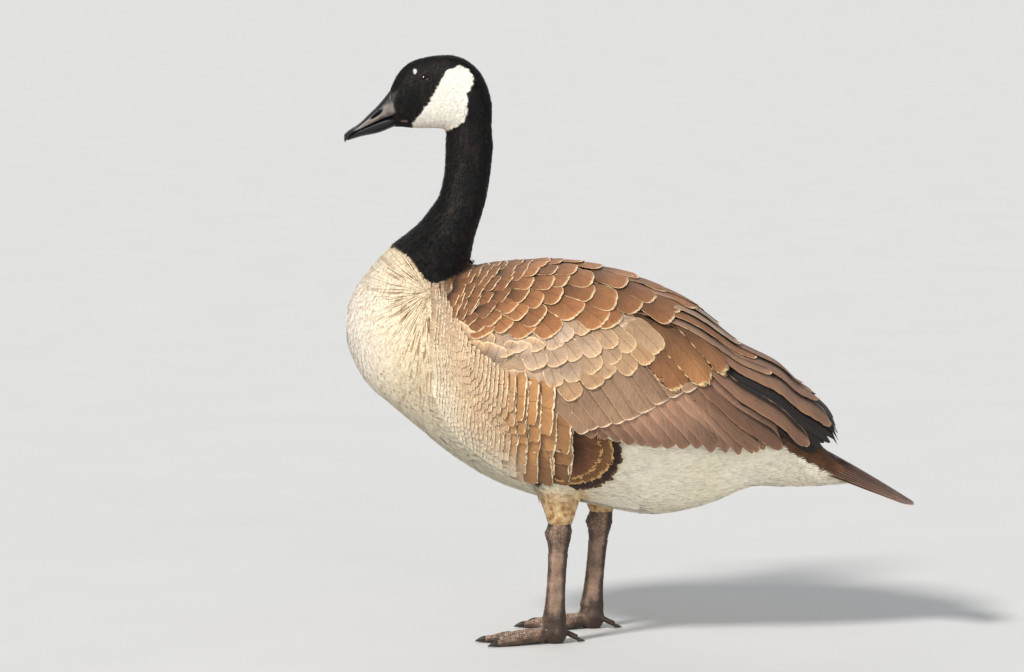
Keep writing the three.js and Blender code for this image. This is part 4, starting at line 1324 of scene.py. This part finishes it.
def lobe_layer(rng, line, count, size, tint, hem, hem_width, lift):
    places, _, _ = along_line(line, count)
    tips = np.array([(y, BODY_CHART.drop_at(y, z)) for y, z in places])
    heart = np.array([LOBE_HEART[0], BODY_CHART.drop_at(*LOBE_HEART)])
    # dark_root paints shade at each feather's root, under the layer over it
    return vanes(
        BODY_CHART, tips + 0.75 * (heart - tips), tips, rng, width=size, grid=(14, 12),
        tint=varied(rng, count, tint, tint, 0.1), hem=hem, hem_width=hem_width, side_hem=0.1, sink=3,
        lift=lift, camber=0.3, tip=0.6, square=2.6, ragged=0.11, dark_root=0.55, base=0.7, curl=0.1,
        tilt=0.3)


def flank_bar(rng, bar):
    """One upright bar of feathers, paler at its foot and sunk into the coat at the front of the flank."""
    y = float(BAR_PLACES(bar))
    size = float(np.interp(y, [-222, -170, -130, -100, -60], [9, 12, 18, 26, 32]))
    top = BODY_CHART.drop_at(y, float(BAR_TOPS(y)))
    foot = BODY_CHART.drop_at(y, float(BAR_FEET(y)))
    count = max(3, round((foot - top) / (0.62 * size)))
    share = np.linspace(0.03, 0.97, count)
    round_end = np.interp(y, [-110, -50], [0.08, 0.14])
    arch = -round_end * size * np.abs(2 * share - 0.9) ** 2.6 + 1.2 * np.sin(9 * share + 0.5 * bar)
    tip_y = y + arch + 0.015 * size * rng.standard_normal(count)
    tips = np.stack([tip_y, top + 0.6 * size + (foot - top - 0.9 * size) * share], -1)
    roots = tips - np.stack([size * (1.0 + 0.1 * rng.random(count)), 0.15 * size * (0.5 - share)], -1)

    # the tint, from the front to the dark last bars
    blend_in = float(1 - ease(y, -194, -152))
    height = BODY_CHART.place(np.full(count, y), tips[:, 1], np.zeros(count))[:, 2]
    tint = mix(FLANK, FLANK_FRONT, 1 - ease(y, -205, -140))
    tint = mix(tint, FLANK_DARK, 0.5 * float(ease(y, -66, -50))) * np.ones((count, 1))
    tint = mix(tint, CREAM, 0.3 * (1 - ease(y, -135, -100)) * np.ones(count))
    tint = mix(tint, CREAM, 0.8 * ease(share, 0.45, 1.0) * (1 - ease(y, -112, -92)))
    tint = mix(tint, FLANK_TOP, 0.6 * (1 - ease(y, -175, -140)) * ease(height, 292, 336))
    tint = mix(tint, coat_colour(BODY_CHART.place(*tips.T, np.zeros(count))) * 0.9, 0.25 * blend_in)
    tint = mix(tint, FLANK_DARK, 0.5 * ease(share, 0.8, 1.0) * ease(y, -95, -75))

    raised = 4.2 + 5.4 * ease(-share, -0.5, 0.0) * ease(y, -188, -150)
    lowered = 4.6 * np.maximum(blend_in, ease(share, 0.62, 1.0) * (1 - ease(y, -125, -85)))
    # dark_root paints shade at each feather's root, just behind the hem of the feather in front
    return vanes(
        BODY_CHART, roots, tips, rng, width=1.7 * size, grid=(16, 12),
        tint=tint * (1 + 0.03 * rng.standard_normal((count, 1))), hem=mix(FLANK_HEM, CREAM, blend_in),
        hem_width=0.09 * size + 1.35 - 0.35 * blend_in, side_hem=0.03, sink=3, lift=raised,
        settle=(lowered, lowered), camber=0.15, tip=0.15, square=3.6, ragged=0.03,
        dark_root=0.3 + 0.3 * float(ease(y, -130, -95)), base=0.9, curl=0.03, tilt=0.22)


def flank_feathers(side_name):
    rng = np.random.default_rng(31 if side_name == "left" else 32)
    sheets = [lobe_layer(rng, *layer) for layer in LOBE_LAYERS]
    sheets += [flank_bar(rng, bar) for bar in range(BAR_COUNT)]
    feather_piece(f"flank_{side_name}_feathers", sheets, SIDES[side_name], VANE)


for side_name in SIDES:
    flank_feathers(side_name)

# Tail

TAIL_ROOT = (186, 194)
TAIL_TIP_Y = 285.6
TAIL_PAIRS = 9
TAIL_BROWN = tone(0x5A3C30)
TAIL_DARK = tone(0x2A1C18)
TAIL_HEM = tone(0xC09474)


class TailFan:
    """The fan's own chart: y back from its root, and x as the way across."""

    def place(self, y, across, lift):
        back = y - TAIL_ROOT[0]
        flat = 1 - 0.8 * np.clip(back / 90, 0, 1)
        z = TAIL_ROOT[1] - (0.53 + 0.0006 * back) * back - 0.006 * flat * across**2 + lift
        return np.stack([across, y, z], -1)


def tail_feathers():
    """Pairs of tail feathers, laid from the outer ones up to the middle pair."""
    rng = np.random.default_rng(41)
    sheets = []
    for number in range(TAIL_PAIRS - 1, -1, -1):
        sign = np.array([1.0, -1.0])
        pair = 0.375 * number
        turn = 0.056 * (pair + 0.3)
        length = (TAIL_TIP_Y - TAIL_ROOT[0] + 22) * (1 - 0.006 * pair**2)
        roots = np.stack([np.full(2, TAIL_ROOT[0] - 22), sign * (0.8 + 3.7 * pair)], -1)
        tips = roots + length * np.stack([np.full(2, math.cos(turn)), sign * math.sin(turn)], -1)
        lighter = 1 + 0.8 * (number % 3 == 1)
        sheets.append(vanes(
            TailFan(), roots, tips, rng, width=17, grid=(12, 26),
            tint=varied(rng, 2, TAIL_BROWN, TAIL_DARK) * lighter, hem=TAIL_HEM, hem_width=1.2, sink=0,
            lift=0, settle=(8.6 * pair, 0.6 * pair), camber=0.4, tip=1.2, square=2.2, base=0.7, curl=0.15))
    piece = feather_piece("tail_feathers", sheets, 1, VANE)
    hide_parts("tail")


tail_feathers()

# The coat of small feathers

def scattered(spacing, keep, rng):
    """Places on the skin, about evenly spaced, where keep(points) is true, with the skin's normals there."""
    a, b, c, d = (skin_points[skin_faces[:, i]] for i in range(4))
    area = 0.5 * sum(np.linalg.norm(np.cross(edge, c - a), axis=1) for edge in (b - a, d - a))
    wanted = keep((a + b + c + d) / 4) & ~covered[skin_faces].all(axis=1)
    area = np.where(wanted, area, 0)
    count = int(area.sum() / spacing**2 * 3)
    chosen = rng.choice(len(area), count, p=area / area.sum())
    u, v = rng.random((2, count, 1))
    faces = skin_faces[chosen]

    def between(table):
        near = table[faces[:, 0]] * (1 - u) + table[faces[:, 1]] * u
        far = table[faces[:, 3]] * (1 - u) + table[faces[:, 2]] * u
        return near * (1 - v) + far * v

    points = between(skin_points)
    _, first = np.unique(np.floor(points / spacing).astype(int), axis=0, return_index=True)
    return points[first], unit(between(skin_normals))[first]


def lie(points):
    """How the coat lies: back from the bill, down the neck, out over the breast and back along the body."""
    x, y, z = points[:, 0], points[:, 1], points[:, 2]
    zero = np.zeros(len(points))
    nape = ease(y, -185, -150)
    head = np.stack([zero, 1 - 0.75 * nape, -0.25 - 0.75 * nape], -1)
    neck = np.stack([zero, 0.12 * np.ones(len(points)), -np.ones(len(points))], -1)
    forward = np.minimum(y - NECK_BASE[0], 0)
    fall = np.maximum(NECK_BASE[1] - z, 1)
    breast = np.stack([0.002 * x, fall / np.hypot(forward, fall), forward / np.hypot(forward, fall)], -1)
    back = np.stack([zero, np.ones(len(points)), -0.35 * ease(y, 20, 120)], -1)
    trunk = mix(breast, back, ease(y, -190, -120) * ease(z, 330, 352))
    thigh = np.stack([zero, 0.25 * np.ones(len(points)), -np.ones(len(points))], -1)
    trunk = mix(trunk, thigh, ease(-z, -158, -140) * ease(np.abs(x), 22, 30) * (y < 5))
    return unit(mix(mix(trunk, neck, ease(z, 372, 396)), head, ease(z, 492, 525)))


def unwrapped(points):
    """Places on an unwrap of the skin's own shape, from 0 to 1."""
    x, y, z = points[:, 0], points[:, 1], points[:, 2]
    upper = z > 400
    around = np.where(upper, np.arctan2(x, -(y - NECK["centre"](z))), np.arctan2(x, z - BODY["middle"](y)))
    along = np.where(upper, (z - 330) / 270, (y + 300) / 560)
    return np.stack([0.5 + around / (2 * math.pi) * 0.98, np.clip(along, 0.01, 0.98)], -1)


# A strand's seven points: their places on its strip of the map, how light they are, with painted shade
# towards the root, and its faces

STRAND_MAP = np.array([(0.1, 0), (0.3, 0), (0, 0.4), (0.4, 0.4), (0, 0.75), (0.35, 0.75), (0.2, 1)])
STRAND_SHADE_LEVELS = np.array([0.84, 0.84, 0.93, 0.93, 1.0, 1.0, 1.03])
STRAND_FACES = np.array([(0, 1, 3), (0, 3, 2), (2, 3, 5), (2, 5, 4), (4, 5, 6)])[:, ::-1]
PATCH = 0.003


def tufts(name, spacing, keep, seed, finish, *, length, width, rise, strands, sink=0.5, jitter=0.08):
    """Small feathers over part of the skin, each a few soft strands of five triangles from one root."""
    rng = np.random.default_rng(seed)
    roots, normals = scattered(spacing, keep, rng)
    count = len(roots)
    flow = lie(roots) + jitter * rng.standard_normal((count, 3))
    flow = unit(flow - normals * np.sum(flow * normals, axis=1)[:, None])
    size = (1 + 0.18 * rng.standard_normal(count))[:, None]
    long = (length(roots)[:, None] if callable(length) else length) * size
    wide = width * size
    high = rise * (1 + 0.09 * rng.standard_normal((count, 1)))

    # each tuft's middle and tip lie over the skin that is nearest to them
    mids, tips = np.empty_like(roots), np.empty_like(roots)
    for i in range(count):
        near = skin_tree.find_nearest(Vector(roots[i] + 0.55 * long[i] * flow[i]))
        far = skin_tree.find_nearest(Vector(roots[i] + long[i] * flow[i]))
        mids[i] = near[0] + float(0.75 * high[i, 0]) * near[1]
        tips[i] = far[0] + float(high[i, 0]) * far[1]

    # three places along each strand's middle line, with its breadth there, and its end
    base = roots - sink * normals
    side = np.cross(normals, flow)
    stray = rng.standard_normal((count, strands, 1))
    order = np.linspace(-1, 1, strands)[None, :, None] + 0.3 / strands * stray
    thick = wide[:, None] / strands * 0.8
    drop = 0.22 * high[:, None] * order**2 * normals[:, None]
    shorter = (0.16 * order**2 + 0.14 * rng.random((count, strands, 1))) * (tips - mids)[:, None]
    lines = [
        (base[:, None] + 0.25 * wide[:, None] * order * side[:, None], 0.8 * thick),
        (mids[:, None] + 0.45 * wide[:, None] * order * side[:, None] - drop, 1.15 * thick),
        (0.45 * mids[:, None] + 0.55 * tips[:, None] + 0.5 * wide[:, None] * order * side[:, None]
         - drop - 0.5 * shorter, 0.9 * thick),
    ]
    ends = tips[:, None] + 0.5 * wide[:, None] * order * side[:, None] - drop - shorter
    rows = []
    for centre, breadth in lines:
        rows += [centre - breadth * side[:, None] / 2, centre + breadth * side[:, None] / 2]
    points = np.stack([*rows, ends], 2).reshape(-1, 3)
    firsts = np.arange(count * strands)[:, None, None] * len(STRAND_MAP)
    corners = (firsts + STRAND_FACES[None]).reshape(-1, 3)
    mesh = sheet_mesh(name, points, corners)

    # each tuft's own patch of the map
    own = STRAND_MAP[None, None] * np.array([1 / strands, 1])
    own = own + np.stack([np.arange(strands) / strands, np.zeros(strands)], -1)[None, :, None]
    patch = (unwrapped(roots)[:, None, None] + PATCH * (own - 0.5)).reshape(-1, 2)
    record_map(mesh, "OFBake", patch[corners.ravel()])

    # markings, with painted shade towards the root, where the tufts overlap
    seeds = np.repeat(rng.random(count), strands * len(STRAND_MAP))
    where = 0.5 * points + 0.5 * np.repeat(roots, strands * len(STRAND_MAP), axis=0)
    level = np.tile(STRAND_SHADE_LEVELS, count * strands)
    colour = coat_colour(where) * (level * (0.95 + 0.1 * seeds))[:, None]
    record_values(mesh, "tint", with_strength(colour))
    record_values(mesh, "streak", streak_colour(points))
    mesh.materials.append(finish)
    piece = as_object(name, mesh)
    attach(piece, "root")


# Where each part of the coat grows

def bare_of_bill(points):
    return inside(BILL_SKIN, points[:, 1], points[:, 2]) < 0.4


def clear_of_eyes(points):
    near = points.copy()
    near[:, 0] = np.abs(near[:, 0])
    return np.linalg.norm(near - (EYE + np.array([5.5, 0, 1.5])), axis=1) > 6.6


def at_nape_foot(points):
    return (points[:, 1] > -176) & (points[:, 2] < 388)


def on_head(points):
    return points[:, 2] > 505


def on_neck(points):
    return (points[:, 2] > COLLAR(points[:, 1]) - 1) & (points[:, 2] <= 506) & ~at_nape_foot(points)


def on_trunk(points):
    return points[:, 2] < COLLAR(points[:, 1]) + 3


def on_thigh(points):
    return (points[:, 2] < 150) & (np.abs(points[:, 0]) > 25) & (points[:, 1] < 8) & (points[:, 1] > -112)


def on_side(points):
    return (points[:, 1] >= -205) & (points[:, 1] < -60)


def belly_length(points):
    return 15 - 6 * ease(points[:, 1], 120, 160)


tufts("face_coat", 1.5, lambda p: on_head(p) & (p[:, 1] < -185) & clear_of_eyes(p) & bare_of_bill(p), 51,
      DARK_COAT, length=4.2, width=1.7, rise=0.8, strands=3, sink=0.3)
tufts("crown_coat", 1.7, lambda p: on_head(p) & (p[:, 1] >= -185), 52,
      DARK_COAT, length=5.2, width=2.0, rise=1.1, strands=3, sink=0.3)
tufts("neck_coat", 2.0, on_neck, 53, DARK_COAT, length=8.5, width=2.6, rise=1.9, strands=3)
tufts("breast_coat", 2.5, lambda p: on_trunk(p) & (p[:, 1] < -205), 54,
      COAT, length=11, width=3.3, rise=1.5, strands=4, sink=0.3, jitter=0.05)
tufts("side_coat", 2.9, lambda p: on_trunk(p) & on_side(p) & ~on_thigh(p), 55,
      COAT, length=11, width=4.0, rise=2.4, strands=4)
tufts("belly_coat", 3.2, lambda p: on_trunk(p) & (p[:, 1] >= -60) & ~on_thigh(p), 56,
      COAT, length=belly_length, width=5.2, rise=2.0, strands=4, sink=0.3)
tufts("thigh_coat", 2.2, on_thigh, 57,
      COAT, length=10, width=2.4, rise=1.2, strands=4, jitter=0.05)

# Bill

BILL_ROUNDING = 0.85


def bill_half(form, tip_y, base_y, level):
    """One half of the bill, with its middle line at a share of its depth."""
    def place(along, angle, reach):
        eased = np.sin(along * math.pi / 2)
        y = base_y + (tip_y - base_y) * eased
        middle = form["bottom"](y) + level * (form["top"](y) - form["bottom"](y))
        rise = np.where(np.cos(angle) > 0, form["top"](y) - middle, middle - form["bottom"](y))
        x = reach * form["half_width"](y) * signed_power(np.sin(angle), BILL_ROUNDING)
        z = middle + reach * rise * signed_power(np.cos(angle), BILL_ROUNDING)
        return np.stack([x, y, z], -1)

    return tube(72, 90, place)


NOSTRIL = (np.array([10.6, -258, 520.6]), np.array([10.6, -244.8, 530.4]))
NOSTRIL_DEPTH = 3.4
NAIL_RISE = 0.55
HOOK_DROP = 2.3


def beside_line(points, ends):
    """How far points lie from a straight line, and at which share of it."""
    start, end = ends
    run = end - start
    share = np.clip((points - start) @ run / (run @ run), 0, 1)
    return np.linalg.norm(points - start - share[:, None] * run, axis=1), share


def bill():
    """Both halves, with the nostril sunk in, the nail raised and hooked, and a painted highlight marked on
    the sides, less of it on the nail, the lower edge and the ridge, and painted shade in the nostril.
    """
    upper = bill_half(BILL_UPPER, BILL_TIP_Y, BILL_BASE_Y + 12, 0.3)
    upper.normal_update()
    pale = []
    for vert in upper.verts:
        y = vert.co.y
        edge, top = BILL_UPPER["bottom"](y), BILL_UPPER["top"](y)
        away, share = beside_line(np.array([[abs(vert.co.x), y, vert.co.z]]), NOSTRIL)
        slit = away[0] / (0.35 + 0.9 * math.sin(math.pi * min(max(share[0], 0.03), 0.97)))
        depth = 1 - ease(slit, 0.6, 1.9)
        nail = ease(-y, 272.5, 275.5) * ease(vert.co.z - edge, 0.5, 3)
        hook = ease(-y, 276, 284)
        vert.co -= vert.normal * float(NOSTRIL_DEPTH * depth)
        vert.co += vert.normal * float(NAIL_RISE * nail)
        vert.co.z -= float(HOOK_DROP * hook * (1 - ease(vert.co.z - edge, 1, 6)))
        # a painted highlight on the sides of the black horn, strongest round the nostril, with painted shade
        # in the nostril's hollow; less of it on the nail, the lower edge and the ridge
        rim = 1 - ease(away[0], 2.2, 5.5)
        side = ease(abs(vert.normal.x), 0.3, 0.8)
        low = 1 - ease(vert.co.z - edge, 0.6, 2.2)
        ridge = ease((vert.co.z - edge) / (top - edge), 0.5, 0.82)
        highlight_and_shade = 0.42 * side + 0.12 * rim - 1.4 * depth - 0.3 * nail - 0.25 * low - 0.5 * ridge - 0.2
        pale.append(float(highlight_and_shade))
    top = finished("bill_upper_horn", upper, BILL)
    record_values(top.data, "pale", np.array(pale))
    lower = bill_half(BILL_LOWER, BILL_LOWER_TIP_Y, BILL_BASE_Y + 6, 0.72)
    base = finished("bill_lower_horn", lower, BILL)
    record_values(base.data, "pale", np.full(len(base.data.vertices), -0.6))
    for piece, node in ((top, "bill_upper"), (base, "bill_lower")):
        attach(piece, "root")
        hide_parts(node)


bill()

# Eyes and their lids

EYE_OUT = unit(np.array([0.93, -0.08, 0.32]))
EYE_BACK = unit(np.cross(np.cross(EYE_OUT, np.array([0.0, 1, 0])), EYE_OUT))
EYE_UP = np.cross(EYE_OUT, EYE_BACK)
IRIS_TURN = math.radians(52)
LID_REACH = 5.9


def eye(side_name):
    """An eyeball that looks out, and the ring of its lids."""
    mirror = np.array([SIDES[side_name], 1, 1])
    ball = bmesh.new()
    bmesh.ops.create_uvsphere(ball, u_segments=40, v_segments=24, radius=EYE_RADIUS)
    bmesh.ops.translate(ball, vec=EYE * mirror, verts=ball.verts)
    piece = finished(f"eyeball_{side_name}", ball, EYE_GLASS)
    points = np.array([vert.co for vert in piece.data.vertices]) / MM - EYE * mirror
    turn = np.arccos(np.clip(unit(points) @ (EYE_OUT * mirror), -1, 1))
    record_values(piece.data, "ring", turn / IRIS_TURN)
    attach(piece, "root")
    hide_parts(f"eye_{side_name}")

    def place(u, v):
        around = 2 * math.pi * u
        about = 2 * math.pi * v
        upper = ease(np.sin(around), -0.2, 0.6)
        thick = 0.75 + 0.35 * upper
        reach = LID_REACH + 0.35 * np.cos(2 * around)
        centre = (EYE + EYE_OUT * (4.6 - 0.2 * upper[:, None])
                  + EYE_BACK * (reach * np.cos(around))[:, None] * 1.04
                  + EYE_UP * (reach * np.sin(around))[:, None] * 0.86)
        outward = EYE_BACK * np.cos(around)[:, None] + EYE_UP * np.sin(around)[:, None]
        ring = centre + outward * (thick * np.cos(about))[:, None]
        return (ring + EYE_OUT * (thick * np.sin(about))[:, None]) * mirror

    lids = finished(f"lids_{side_name}", shaped(72, 12, place), LID)
    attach(lids, "root")


for side_name in SIDES:
    eye(side_name)

# Legs and feet

LEG_VOXEL = 0.9
CLAW_VOXEL = 0.4
CLAW_TUCK = 1.3
HOCK_Z = 110


def leg(side_name):
    """The shank and foot grown together, with scutes on the toes, rings on the shank and a wrinkled hock."""
    sign, foot_y = SIDES[side_name], FEET[side_name]
    bridge = bmesh.new()
    bmesh.ops.create_cone(bridge, cap_ends=True, segments=24, radius1=1, radius2=1, depth=6)
    bmesh.ops.scale(bridge, vec=(8.2, 12, 1), verts=bridge.verts)
    bmesh.ops.translate(bridge, vec=(sign * LEG_X, foot_y, 23), verts=bridge.verts)
    parts = [node_form(f"shank_{side_name}"), node_form(f"foot_{side_name}"), bridge]
    whole = grown_together(gathered(parts), LEG_VOXEL, 7)
    smoothed(whole, 50, [vert for vert in whole.verts if 94 < vert.co.z < 119], upright=False)

    # where the scales, rings and wrinkles lie
    centre = np.array([sign * LEG_X, foot_y, 0])
    points = places_of(whole)
    normals = normals_of(whole)
    y, z = points[:, 1], points[:, 2]
    own = points - centre
    toes = ease(-own[:, 1], 10, 16) * ease(normals[:, 2], 0.1, 0.6)
    scutes = np.abs(np.sin(np.hypot(own[:, 0], own[:, 1]) * math.pi / 2.1)) * toes
    rings = np.abs(np.sin(z * math.pi / 2.6)) * ease(z, 26, 34) * (1 - ease(z, 92, 100))
    front = ease(-(own[:, 1] - 0.05 * z), 3, 7)
    slant = np.stack([points[:, 0] / 3, (y + z) / 1.5, (y - z) / 6], -1)
    wrinkles = drift(slant, 5) * ease(z, 90, 100)
    rough = drift(points / 3, 9)
    # satin is a painted highlight down the sides that face outwards
    outward_highlight = ease(np.abs(normals[:, 0]), 0.75, 1.0) * ease(z, 22, 34)
    knob = np.exp(-(((z - HOCK_Z) / 5.5) ** 2))
    above = ease(z, 112, 119)
    raised = 0.3 * scutes + 0.03 * rings * front + 1.2 * (wrinkles - 0.5) * (wrinkles > 0)
    raised = raised + 0.1 * rough - 0.1

    for vert, joint, top, height in zip(whole.verts, knob, above, raised):
        if vert.co.y < foot_y:
            vert.co.y -= float(2.0 * joint)
        vert.co.y += float(0.03 * top * (ANKLES[side_name] - vert.co.y))
        vert.co.x += float(0.03 * top * (centre[0] - vert.co.x))
        vert.co += vert.normal * float(height)
        vert.co.z = max(vert.co.z, 0)
    piece = finished(f"leg_{side_name}", whole, LEG)
    record_values(piece.data, "scaly", np.clip(toes + 0.15 + ease(z, 92, 102), 0, 1))
    # paler on scutes and rings, with painted highlights on the outward sides and the front of the shank
    record_values(piece.data, "pale", 0.6 * scutes + 0.55 * outward_highlight + 0.15 * front + 0.04 * rings)
    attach(piece, "root")
    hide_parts(f"shank_{side_name}", f"foot_{side_name}")


def claws(side_name):
    """The foot's four claws, tucked a little into their toes."""
    names = [f"claw_{side_name}_{digit}" for digit in ("inner", "middle", "outer", "hind")]
    parts = []
    for name in names:
        form = node_form(name)
        middle = sum((vert.co for vert in form.verts), Vector()) / len(form.verts)
        back = Vector((SIDES[side_name] * LEG_X - middle.x, FEET[side_name] - middle.y, 0)).normalized()
        bmesh.ops.translate(form, vec=CLAW_TUCK * back, verts=form.verts)
        parts.append(form)
    piece = finished(f"claws_{side_name}", grown_together(gathered(parts), CLAW_VOXEL, 4), CLAW)
    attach(piece, "root")
    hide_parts(*names)


for side_name in SIDES:
    leg(side_name)
    claws(side_name)
